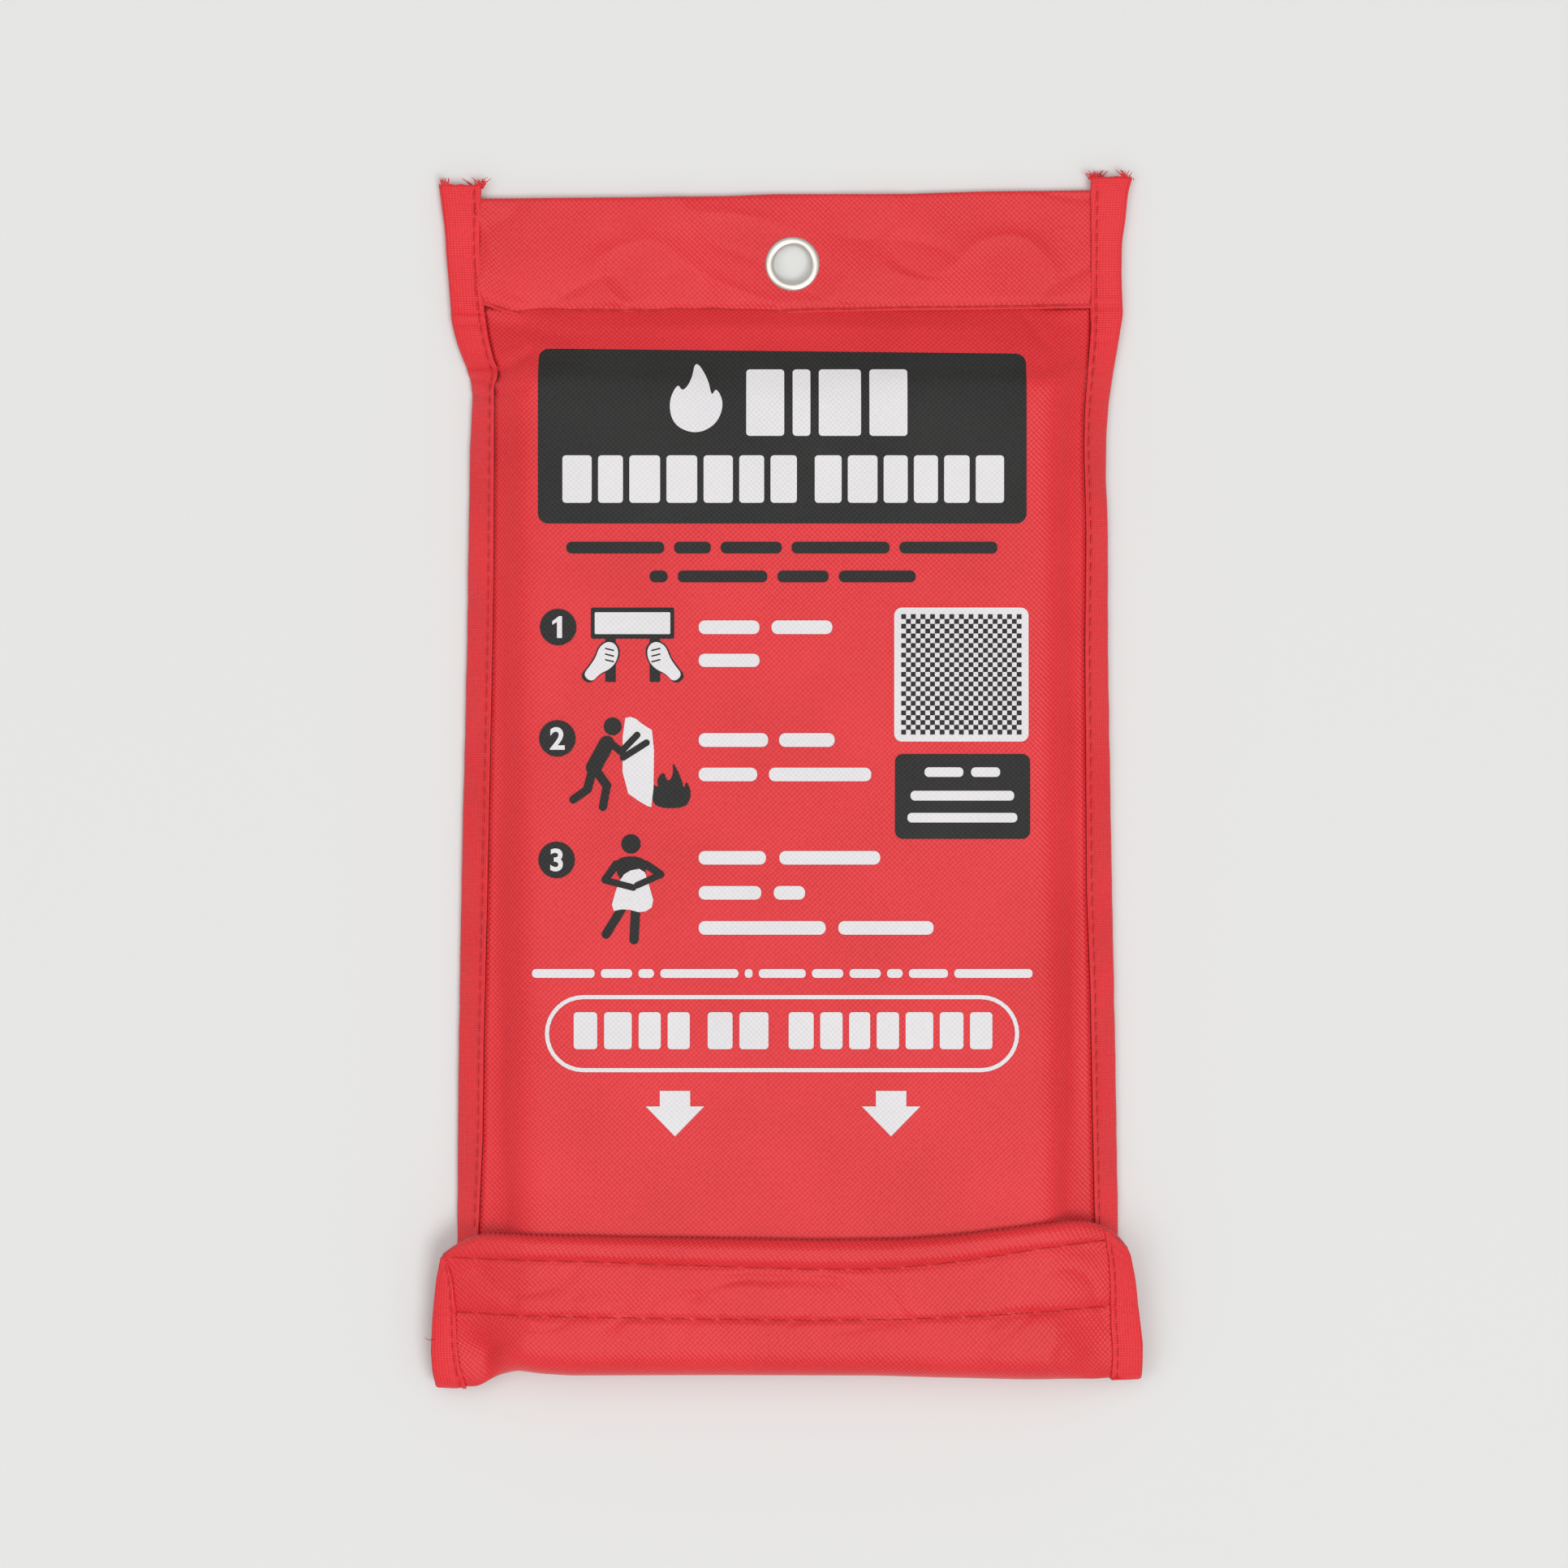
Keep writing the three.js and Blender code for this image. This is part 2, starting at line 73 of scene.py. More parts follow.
HEADER_LOW = [(-80, 122.6), (-78.4, 122.4), (-75.1, 120.9), (-69.8, 119.3), (-63.7, 119.6), (-51.8, 120.2),
              (-30.3, 119.9), (-4.1, 119.8), (7.2, 120.2), (29.3, 120.7), (56.2, 121.0), (80, 121.4)]
HEADER_HIGH = [(-80, 149.6), (-38.3, 150.0), (-14.8, 150.3), (-3.5, 150.8), (29.3, 150.8), (51.6, 151.5),
               (80, 151.8)]
FLAP_HIGH = [(-90, -124.5), (-88.9, -123.4), (-85.2, -120.7), (-80.5, -118.2), (-76.5, -117.6),
             (-65, -117.9), (-45, -118.3), (-25, -118.6), (6.4, -119.1), (29.3, -118.9), (42.7, -118.0),
             (56.2, -116.3), (66.3, -115.0), (73, -114.2), (77.6, -114.4), (82.2, -116.0), (85.6, -118.3),
             (88.3, -123.0)]
FLAP_LOW = [(-92, -157.4), (-82, -157.5), (-79.3, -157.2), (-77.8, -156.2), (-74.0, -154.2), (-69.2, -153.0),
            (-63.7, -153.8), (-55.8, -154.3), (-18, -154.2), (22.8, -154.3), (42.7, -154.9), (60.8, -155.3),
            (92, -155.2)]
FLAP_LEFT = [(-117.8, -78.5), (-118.6, -81.5), (-120.7, -85.2), (-123.4, -88.9), (-130.3, -90.2),
             (-139.2, -91.2), (-148.4, -91.6), (-153.9, -91.2), (-160, -90.0)]
FLAP_RIGHT = [(-114.4, 77.6), (-116.0, 82.2), (-118.3, 85.6), (-123, 88.3), (-129.7, 89.6),
              (-138.3, 90.6), (-146.5, 91.6), (-155.1, 91.5), (-160, 91.2)]
FLAP_LEFT_SEAM = [(-118, -88.3), (-124.7, -88.0), (-127.7, -87.0), (-131.7, -85.9), (-138.3, -85.2),
                  (-147.1, -85.1), (-152.5, -84.3), (-160, -82.0)]
FLAP_RIGHT_SEAM = [(-114, 80.4), (-119.1, 80.8), (-123.7, 82.0), (-131.7, 83.0), (-141.8, 83.4),
                   (-148.4, 84.1), (-155.7, 83.8), (-160, 83.6)]
HEM_ROW = [(-86.5, -123.8), (-57.9, -124.3), (-23, -125.5), (6.4, -126.5), (24.7, -126.4), (38.7, -125.1),
           (50.7, -123.5), (64.8, -121.1), (80.6, -119.3)]
HOOK_ROW = [(-85.0, -138.1), (-66.9, -138.5), (-31, -139.2), (6.4, -139.6), (29.3, -139.4), (53.4, -138.3),
            (70.9, -137.1), (83.0, -136.4)]


def curve(table, blur=5.0):
    """The table's second value as a smooth function of its first."""
    table = sorted(table)
    fine = np.arange(table[0][0] - 20, table[-1][0] + 20, 0.5)
    raw = np.interp(fine, [a for a, _ in table], [b for _, b in table])
    half = max(1, int(blur))
    kernel = np.hanning(2 * half + 3)[1:-1]
    kernel /= kernel.sum()
    smooth = np.convolve(np.pad(raw, half, "edge"), kernel, "valid")
    return lambda a: np.interp(a, fine, smooth)


left_edge, right_edge = curve(LEFT_EDGE), curve(RIGHT_EDGE)
left_seam, right_seam = curve(LEFT_SEAM), curve(RIGHT_SEAM)
header_low, header_high = curve(HEADER_LOW, 8), curve(HEADER_HIGH, 8)
flap_high, flap_low = curve(FLAP_HIGH, 6), curve(FLAP_LOW, 4)
flap_left, flap_right = curve(FLAP_LEFT, 2), curve(FLAP_RIGHT, 2)
flap_left_seam, flap_right_seam = curve(FLAP_LEFT_SEAM), curve(FLAP_RIGHT_SEAM)
hem_row, hook_row = curve(HEM_ROW, 8), curve(HOOK_ROW, 8)


def smooth(t):
    t = np.clip(t, 0, 1)
    return t * t * (3 - 2 * t)


def mix(a, b, t):
    return a + (b - a) * t


def ripple(x, y, size, seed):
    """Smooth noise from -1 to 1 over arrays of places, with features about size mm across."""
    x, y = np.broadcast_arrays(np.asarray(x, float), np.asarray(y, float))
    flat = [noise.noise(Vector((a / size, b / size, seed * 7.31))) for a, b in zip(x.ravel(), y.ravel())]
    return np.array(flat).reshape(x.shape)


def creases(x, y, size, seed):
    """Sharp soft ridges like those of handled cloth, from 0 to 1."""
    near = 1 - np.abs(ripple(x * 0.8 + y * 0.5, y - x * 0.3, size, seed)) * 3
    return np.clip(near, 0, 1) ** 3


def pinch(x, y, place, size):
    return np.exp(-((x - place[0]) ** 2 + (y - place[1]) ** 2) / size ** 2)


def furrow(x, y, a, b, width):
    """1 along the line from a to b, fading to 0 across its width and round its ends."""
    run = (b[0] - a[0], b[1] - a[1])
    t = np.clip(((x - a[0]) * run[0] + (y - a[1]) * run[1]) / (run[0] ** 2 + run[1] ** 2), 0, 1)
    off = np.hypot(x - a[0] - t * run[0], y - a[1] - t * run[1])
    return np.exp(-((off / width) ** 2))


# ---------------- heights
FRONT_TOP, BLANKET_TOP, MOUTH = 121.5, 104.0, -150.9
HEADER_Z, CROWN_Z, SEAM_Z, EDGE_Z, FLAP_Z = 1.95, 13.9, 7.3, 1.2, 16.5
LOWEST, BACK_TOP_Z, UNDER_SEAM = 0.28, HEADER_Z - 0.75, 0.6


def from_header(y):
    return smooth((122.7 - y) / 23)


def seam_z(y):
    return mix(HEADER_Z, SEAM_Z, from_header(y))


def edge_z(y):
    return mix(HEADER_Z - 0.1, EDGE_Z, from_header(y))


def crown_z(y):
    return mix(HEADER_Z, CROWN_Z, smooth((120.2 - y) / 20))


def seam_share(x, y):
    """1 on the side seams, 0 from 10 mm inside them."""
    inside = np.minimum(x - left_seam(y), right_seam(y) - x)
    return np.clip(1 - inside / 10, 0, 1) ** 1.5


def front_guess(x, y):
    return mix(crown_z(y), seam_z(y), seam_share(x, y))


def back_height(x, y):
    low = mix(LOWEST, BACK_TOP_Z, smooth((y - 110) / 12))
    beyond = np.maximum(left_seam(y) - x, x - right_seam(y))
    inner = mix(low, seam_z(y) - UNDER_SEAM, seam_share(x, y))
    outer = mix(seam_z(y) - UNDER_SEAM, edge_z(y), np.clip(beyond / 6.5, 0, 1))
    return np.where(beyond > 0, outer, inner)


# ---------------- flap shape
TURN, BACK_TURN = 7.5, 2.4
FLAP_CEILING, FLAP_FLOOR = 16.5, 15.75
SIDE_Z, CORNER_Z = (8.5, 10.0), (8.4, 9.4)
HEM_RISE, SEWN_IN = 1.1, 0.6
FLAP_DIPS = [(2.4, (-76.5, -148.5), 4.2), (0.7, (-70.5, -143), 4.0), (0.7, (70, -148.3), 2.2)]


def flap_height(x, y):
    """Level over the filled pouch, lower at its sides and at its two bottom corners."""
    t = np.clip((np.abs(x) - 66) / 25, 0, 1)
    z = mix(FLAP_Z, np.where(x < 0, *SIDE_Z), t ** 1.4)
    corner = smooth((np.abs(x) - 68) / 16) * smooth((-130 - y) / 22)
    z = mix(z, np.where(x < 0, *CORNER_Z), corner)
    hem = np.exp(-(((y - (flap_high(x) + hem_row(x)) / 2) / 2.9) ** 4))
    z = z + HEM_RISE * hem
    for row in (hem_row, hook_row):
        z = z - SEWN_IN * np.exp(-(((y - row(x)) / 0.8) ** 2))
    below_hem, below_hook = hem_row(x) - y, hook_row(x) - y
    z = z + 0.5 * smooth(below_hook / 5) * (1 - t) + 0.3 * smooth(below_hem / 4) * smooth(-below_hook / 4)
    z = z - 0.6 * np.exp(-(((x + 6) / 18) ** 2) - ((y + 129.3 + 0.03 * x) / 1.5) ** 2)
    for depth, place, size in FLAP_DIPS:
        z = z - depth * pinch(x, y, place, size)
    z = z - (0.6 * creases(x, y, 26, 53) + 0.45 * creases(x, y, 17, 54)) * smooth(below_hem / 3)
    z = z + 0.35 * ripple(x, y, 24, 51) + 0.1 * ripple(x, y, 9, 52)
    z = z - 0.85 * np.maximum(z - FLAP_CEILING, 0) * (1 - hem)
    floor = FLAP_FLOOR - 9 * smooth((np.abs(x) - 60) / 12)
    return z + 0.9 * np.maximum(floor - z, 0)


# ---------------- materials
def cloth_look(name, colour, light, weave, roughness, bump, sheen=0.12, rib=False, bias=False, speck=0.05,
               gloss=0.3):
    """Woven cloth: weave is the thread pitch in mm; rib makes cross ribs and bias a slanted weave."""
    m = bpy.data.materials.new(name)
    m.use_nodes = True
    nodes, links = m.node_tree.nodes, m.node_tree.links
    shader = nodes["Principled BSDF"]
    shader.inputs["Roughness"].default_value = roughness
    shader.inputs["Sheen Weight"].default_value = sheen
    shader.inputs["Sheen Roughness"].default_value = 0.4
    shader.inputs["Specular IOR Level"].default_value = gloss
    uv = nodes.new("ShaderNodeUVMap")
    uv.uv_map = "cloth"
    split = nodes.new("ShaderNodeSeparateXYZ")
    links.new(uv.outputs["UV"], split.inputs[0])

    def maths(kind, a, b=None):
        n = nodes.new("ShaderNodeMath")
        n.operation = kind
        for k, v in enumerate((a, b)):
            if v is None:
                continue
            if isinstance(v, (int, float)):
                n.inputs[k].default_value = v
            else:
                links.new(v, n.inputs[k])
        return n.outputs[0]

    def speckle(scale, detail):
        n = nodes.new("ShaderNodeTexNoise")
        n.inputs["Scale"].default_value = scale
        n.inputs["Detail"].default_value = detail
        links.new(uv.outputs["UV"], n.inputs["Vector"])
        return n.outputs[0]

    first, second = split.outputs[0], split.outputs[1]
    if bias:
        first = maths("ADD", maths("MULTIPLY", split.outputs[0], 0.8), split.outputs[1])
        second = maths("SUBTRACT", maths("MULTIPLY", split.outputs[0], 0.8), split.outputs[1])
    across = maths("SINE", maths("MULTIPLY", first, math.pi / weave))
    along = maths("SINE", maths("MULTIPLY", second, math.pi / weave))
    if rib:
        grain = maths("ADD", maths("MULTIPLY", along, 0.7), maths("MULTIPLY", across, 0.3))
    else:
        grain = maths("MULTIPLY", across, along)
    fuzz, cloud = speckle(0.9, 3.0), speckle(0.035, 2.0)
    tone = maths("ADD", maths("MULTIPLY", grain, 0.33), maths("MULTIPLY", fuzz, 0.55))
    tone = maths("ADD", tone, maths("MULTIPLY", cloud, 0.6))
    ramp = nodes.new("ShaderNodeMapRange")
    ramp.inputs["From Min"].default_value = 0.2
    ramp.inputs["From Max"].default_value = 0.85
    links.new(tone, ramp.inputs["Value"])
    blend = nodes.new("ShaderNodeMix")
    blend.data_type = "RGBA"
    blend.inputs[6].default_value = (*colour, 1)
    blend.inputs[7].default_value = (*light, 1)
    links.new(ramp.outputs[0], blend.inputs[0])
    links.new(blend.outputs[2], shader.inputs["Base Color"])
    height = maths("ADD", grain, fuzz)
    bumps = nodes.new("ShaderNodeBump")
    bumps.inputs["Strength"].default_value = bump
    bumps.inputs["Distance"].default_value = speck * MM
    links.new(height, bumps.inputs["Height"])
    links.new(bumps.outputs[0], shader.inputs["Normal"])
    return m


def plain_look(name, colour, roughness, metallic=0.0):
    m = bpy.data.materials.new(name)
    m.use_nodes = True
    shader = m.node_tree.nodes["Principled BSDF"]
    shader.inputs["Base Color"].default_value = (*colour, 1)
    shader.inputs["Roughness"].default_value = roughness
    shader.inputs["Metallic"].default_value = metallic
    return m


RED = cloth_look("red_cloth", (0.58, 0.012, 0.017), (0.775, 0.030, 0.038), 0.68, 0.43, 0.9,
                 speck=0.07, gloss=0.36)
RED_TAPE = cloth_look("red_tape", (0.64, 0.014, 0.020), (0.83, 0.038, 0.047), 0.62, 0.5, 0.9,
                      bias=True, speck=0.07)
RED_THREAD = plain_look("red_thread", (0.50, 0.012, 0.018), 0.5)
INK_BLACK = cloth_look("ink_black", (0.014, 0.014, 0.0135), (0.030, 0.030, 0.0285), 0.68, 0.6, 0.6,
                       sheen=0.0, gloss=0.2)
INK_WHITE = cloth_look("ink_white", (0.66, 0.64, 0.65), (0.77, 0.74, 0.75), 0.68, 0.6, 0.4,
                       sheen=0.0, gloss=0.2)
NICKEL = plain_look("nickel", (0.70, 0.68, 0.62), 0.36, 0.9)
GLASS_CLOTH = cloth_look("glass_cloth", (0.66, 0.64, 0.58), (0.86, 0.84, 0.79), 0.9, 0.7, 1.0, sheen=0.2)
LOOP_TAPE = cloth_look("hook_and_loop", (0.30, 0.008, 0.012), (0.62, 0.03, 0.04), 0.5, 0.95, 1.0,
                       sheen=0.6, speck=0.2)
WEBBING = cloth_look("black_webbing", (0.010, 0.010, 0.011), (0.045, 0.045, 0.048), 1.3, 0.75, 1.0,
                     rib=True, speck=0.2)


# ---------------- mesh tools
def add(name, data):
    obj = bpy.data.objects.new(name, data)
    bpy.context.scene.collection.objects.link(obj)
    return obj


def make(name, points, faces, uvs, material):
    mesh = bpy.data.meshes.new(name)
    mesh.from_pydata((np.asarray(points) * MM).tolist(), [], faces)
    layer = mesh.uv_layers.new(name="cloth")
    loops = np.empty(len(mesh.loops), np.int64)
    mesh.loops.foreach_get("vertex_index", loops)
    layer.data.foreach_set("uv", np.asarray(uvs, np.float32)[loops].ravel())
    mesh.polygons.foreach_set("use_smooth", [True] * len(mesh.polygons))
    mesh.materials.append(material)
    mesh.validate()
    mesh.update()
    return add(name, mesh)


def numbered(p):
    """The vertex number at each place of a grid."""
    return np.arange(p.shape[0] * p.shape[1]).reshape(p.shape[:2])


def cell_faces(index):
    """The four vertices of each cell of a numbered grid."""
    corners = [index[:-1, :-1], index[:-1, 1:], index[1:, 1:], index[1:, :-1]]
    return np.stack(corners, 2).reshape(-1, 4)


def grid_normals(p):
    du = np.gradient(p, axis=1)
    dv = np.gradient(p, axis=0)
    n = np.cross(du, dv)
    return n / np.maximum(np.linalg.norm(n, axis=2, keepdims=True), 1e-9)


def lengths(p):
    """Distance walked along each row and each column of a grid, for the weave's coordinates."""
    across = np.cumsum(np.linalg.norm(np.diff(p, axis=1), axis=2), axis=1)
    along = np.cumsum(np.linalg.norm(np.diff(p, axis=0), axis=2), axis=0)
    u, v = np.pad(across, ((0, 0), (1, 0))), np.pad(along, ((1, 0), (0, 0)))
    middle = p.shape[1] // 2
    return u - u[:, middle:middle + 1], np.broadcast_to(v[:, middle:middle + 1], v.shape)


def slab(name, p, thickness, material, normals=None, joined=None):
    """Cloth of even thickness about the middle points p; the joined row carries on in another piece."""
    n = (grid_normals(p) if normals is None else normals) * (thickness / 2)
    uv = np.stack(lengths(p), 2).reshape(-1, 2)
    points = np.concatenate([(p + n).reshape(-1, 3), (p - n).reshape(-1, 3)])
    index = numbered(p)
    size = index.size
    upper = cell_faces(index)
    rim = []
    sides = {"first": (index[0], 1), "right": (index[:, -1], 1),
             "last": (index[-1], -1), "left": (index[:, 0], -1)}
    for line, way in sides.values():
        line = line[::way]
        rim.append(np.stack([line[1:], line[:-1], line[:-1] + size, line[1:] + size], 1))
    faces = np.concatenate([upper, upper[:, ::-1] + size] + rim).tolist()
    obj = make(name, points, faces, np.concatenate([uv, uv]), material)
    if joined:
        line = sides[joined][0]
        ends = np.empty(len(obj.data.edges) * 2, np.int64)
        obj.data.edges.foreach_get("vertices", ends)
        crisp = np.isin(ends, np.concatenate([line, line + size])).reshape(-1, 2).all(1)
        obj.data.edges.foreach_set("use_edge_sharp", crisp)
    return obj


def refine(p):
    """Twice the cells both ways, on a smooth curve through the points."""
    for axis in (0, 1):
        q = np.moveaxis(p, axis, 0)
        ends = np.concatenate([2 * q[:1] - q[1:2], q, 2 * q[-1:] - q[-2:-1]])
        middles = (9 * (q[:-1] + q[1:]) - ends[:-3] - ends[3:]) / 16
        out = np.empty((2 * len(q) - 1,) + q.shape[1:])
        out[0::2] = q
        out[1::2] = middles
        p = np.moveaxis(out, 0, axis)
    return p


class Surface:
    """The top of a slab, to lay other pieces on."""

    def __init__(self, p, thickness):
        top = p + grid_normals(p) * (thickness / 2)
        self.tree = BVHTree.FromPolygons(top.reshape(-1, 3).tolist(), cell_faces(numbered(p)).tolist())

    def at(self, x, y, lift=0.0):
        hit, normal, _, _ = self.tree.ray_cast(Vector((x, y, 60)), Vector((0, 0, -1)))
        if hit is None:
            hit, normal, _, _ = self.tree.find_nearest(Vector((x, y, 15)))
        if normal.z < 0:
            normal = -normal
        return hit + normal * lift, normal


def tube(points, radii, sides):
    """Vertices and faces of a closed round strand along points."""
    points = [Vector(p) for p in points]
    verts, faces = [], []
    side = None
    for k, p in enumerate(points):
        ahead = (points[min(k + 1, len(points) - 1)] - points[max(k - 1, 0)]).normalized()
        if side is None:
            side = ahead.cross(Vector((0, 0, 1)) if abs(ahead.z) < 0.9 else Vector((1, 0, 0)))
        side = (side - ahead * side.dot(ahead)).normalized()
        up = ahead.cross(side)
        for s in range(sides):
            angle = 2 * math.pi * s / sides
            verts.append(p + (side * math.cos(angle) + up * math.sin(angle)) * radii[k])
    for k in range(len(points) - 1):
        for s in range(sides):
            t = (s + 1) % sides
            faces.append([k * sides + s, k * sides + t, (k + 1) * sides + t, (k + 1) * sides + s])
    faces.append(list(range(sides)))
    faces.append([(len(points) - 1) * sides + s for s in reversed(range(sides))])
    return verts, faces


def strands(name, runs, material, sides=7):
    """One mesh of many strands; each run is (points, radii)."""
    verts, faces, uvs = [], [], []
    for points, radii in runs:
        v, f = tube(points, radii, sides)
        base = len(verts)
        verts += [list(p) for p in v]
        faces += [[base + k for k in face] for face in f]
        uvs += [(p.x, p.y) for p in v]
    return make(name, verts, faces, uvs, material)


def kink(t):
    """A lockstitch runs straight and steps aside at its end."""
    return max(0.0, (t - 0.8) / 0.2) - 0.5 * max(0.0, (0.15 - t) / 0.15)


# (share of a stitch's length, its rise there)
STITCH = ((0, -0.35), (0.1, 0.02), (0.3, 0.16), (0.5, 0.2), (0.7, 0.16), (0.9, 0.02), (1, -0.35))


def stitches(path, pitch, share, radius, seed, slack=0.12):
    """Runs for a row of lockstitch along path, a list of (point, normal) close together."""
    rnd = random.Random(seed)
    places = np.array([list(p) for p, _ in path])
    walk = np.concatenate([[0], np.cumsum(np.linalg.norm(np.diff(places, axis=0), axis=1))])
    normals = np.array([list(n) for _, n in path])

    def at(d):
        point = [np.interp(d, walk, places[:, k]) for k in range(3)]
        normal = [np.interp(d, walk, normals[:, k]) for k in range(3)]
        return np.array(point), np.array(normal)

    runs = []
    d = pitch * 0.3
    while d + pitch < walk[-1]:
        length = pitch * share * rnd.uniform(0.93, 1.07)
        aside = slack * rnd.uniform(0.6, 1.2)
        points = []
        for t, h in STITCH:
            p, n = at(d + length * t)
            along = at(d + length)[0] - at(d)[0]
            side = np.cross(along, n)
            side /= max(np.linalg.norm(side), 1e-6)
            points.append(p + n * (h * 0.6 + radius * 0.5) + side * aside * kink(t))
        runs.append((points, [radius * 0.8] + [radius] * 5 + [radius * 0.8]))
        d += pitch
    return runs


def binding(inner, outer, up, ridge):
    """Middle points of a tape folded over an edge, as a U that opens towards inner."""
    share = [0.0, 0.03, 0.07, 0.12, 0.17, 0.24, 0.34, 0.48, 0.62, 0.76, 0.88, 0.95]
    lift = [0.0, 0.28, 0.35, 0.2, -0.12, 0.08, 0.22, 0.28, 0.26, 0.2, 0.08, -0.12]
    top = [(s, PLY + ridge * h) for s, h in zip(share, lift)]
    turn = [(1.0, PLY * 0.45), (1.012, 0.0), (1.0, -PLY * 0.45)]
    under = [(s, -PLY) for s in (0.93, 0.8, 0.6, 0.4, 0.2, 0.02)]
    profile = top + turn + under
    p = np.empty((len(inner), len(profile), 3))
    for k, (s, h) in enumerate(profile):
        p[:, k] = inner + (outer - inner) * s + up * h
    return p


# ---------------- front panel
SIM_SCALE = 0.01
BLOCK_HALF, BLOCK_LOW, BLOCK_RISE, BLOCK_TURN = 70.5, 9.4, 4.0, 7
RAMP_FROM, RAMP_RUN, RAMP_DROP = 97, 24.5, 11.4
UNDER_FLAP, UNDER_TABS = 0.62, 0.25


def sewn_front(rows, cols):
    """The front's flat cut, and the places where the simulation holds its edges, as grids."""
    ys = np.linspace(MOUTH, FRONT_TOP, rows)
    across = np.linspace(0, 1, cols)[None, :]
    y = np.repeat(ys[:, None], cols, 1)
    x = mix(left_seam(y), right_seam(y), across)
    sewn = np.stack([x, y, front_guess(x, y) + 0.25], 2)
    eased = np.where(ys[1:] > RAMP_FROM, 0.968, 1.0)
    steps = np.linalg.norm(np.diff(sewn[:, cols // 2], axis=0), axis=1) * eased
    walk = np.concatenate([[0], np.cumsum(steps)])
    half = (right_seam(ys) - left_seam(ys)) / 2
    wide = mix(2 * half, 127 + 2 * (5.1 + np.hypot(half - 68.5, 5.6)), from_header(ys)) * 1.001
    flat_x = (across - 0.5) * wide[:, None]
    return np.stack([flat_x, np.repeat(walk[:, None], cols, 1), np.zeros((rows, cols))], 2), sewn


def blanket_block():
    """A plain block of the folded blanket's shape, with a slope from its top end to the header."""
    end = np.array([0, 0.7, 2, 4.2])
    xs = np.concatenate([end - BLOCK_HALF, np.linspace(-63, 63, 9), BLOCK_HALF - end[::-1]])
    ys = np.concatenate([np.linspace(-152, 94, 14), np.linspace(96, 121, 14)])
    x, y = np.meshgrid(xs, ys)
    from_side = (BLOCK_HALF - np.abs(x)) / BLOCK_TURN
    turn = np.clip(np.minimum(from_side, (BLANKET_TOP - y) / 9), 0, 1)
    z = BLOCK_LOW + BLOCK_RISE * np.sqrt(1 - (1 - turn) ** 2)
    slope = BLOCK_LOW + BLOCK_RISE - RAMP_DROP * np.clip((y - RAMP_FROM) / RAMP_RUN, 0, 1) ** 1.25
    slope = slope - 4.2 * (1 - np.clip(from_side, 0, 1)) ** 2
    return np.stack([x, y, np.where(y > RAMP_FROM - 0.5, np.minimum(z + 4, slope), z)], 2)


def sim_grid(name, p):
    mesh = bpy.data.meshes.new(name)
    mesh.from_pydata((p.reshape(-1, 3) * SIM_SCALE).tolist(), [], cell_faces(numbered(p)).tolist())
    return add(name, mesh)


def settle_front():
    """A flat-cut panel, held at its four edges, settles over a block of the blanket's shape."""
    flat, sewn = sewn_front(*(((129, 77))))
    obj = sim_grid("front_cut", flat)
    obj.shape_key_add(name="cut")
    held = obj.shape_key_add(name="sewn")
    held.data.foreach_set("co", (sewn.reshape(-1, 3) * SIM_SCALE).astype(np.float32).ravel())
    held.value = 1.0
    index = numbered(flat)
    rim = np.concatenate([index[:, 0], index[:, -1], index[-1], index[0]])
    obj.vertex_groups.new(name="pins").add(rim.tolist(), 1.0, "REPLACE")

    block = sim_grid("block", blanket_block())
    block.modifiers.new("hit", "COLLISION")
    block.collision.thickness_outer = 0.002
    block.collision.cloth_friction = 4.0

    cloth = obj.modifiers.new("cloth", "CLOTH")
    s = cloth.settings
    s.quality = 6
    s.mass = 0.15
    s.air_damping = 2.0
    s.tension_stiffness = 60
    s.compression_stiffness = 60
    s.shear_stiffness = 25
    s.bending_stiffness = 1.2
    s.tension_damping = 20
    s.compression_damping = 20
    s.bending_damping = 2
    s.vertex_group_mass = "pins"
    s.rest_shape_key = obj.data.shape_keys.key_blocks["cut"]
    cloth.collision_settings.distance_min = 0.003
    cloth.collision_settings.use_self_collision = False
    frames = 45
    cloth.point_cache.frame_start = 1
    cloth.point_cache.frame_end = frames
    scene = bpy.context.scene
    for f in range(1, frames + 1):
        scene.frame_set(f)
    shown = obj.evaluated_get(bpy.context.evaluated_depsgraph_get())
    out = np.empty(flat.size, np.float32)
    shown.data.vertices.foreach_get("co", out)
    out = out.reshape(flat.shape).astype(float) / SIM_SCALE
    scene.frame_set(1)
    for o in (obj, block):
        bpy.data.objects.remove(o, do_unlink=True)
    return out


# start, end, width and depth of each furrow
SHOULDER_FURROWS = [
    ((-76, 103.5), (-66, 109.0), 1.5, 0.8),
    ((-75, 98.0), (-68, 100.0), 1.6, 0.5),
    ((-79, 118.5), (-56, 113.0), 2.2, 0.5),
    ((62, 118.5), (67, 111.5), 1.4, 0.5),
    ((74, 107.5), (66, 104.0), 2.0, 0.45),
]


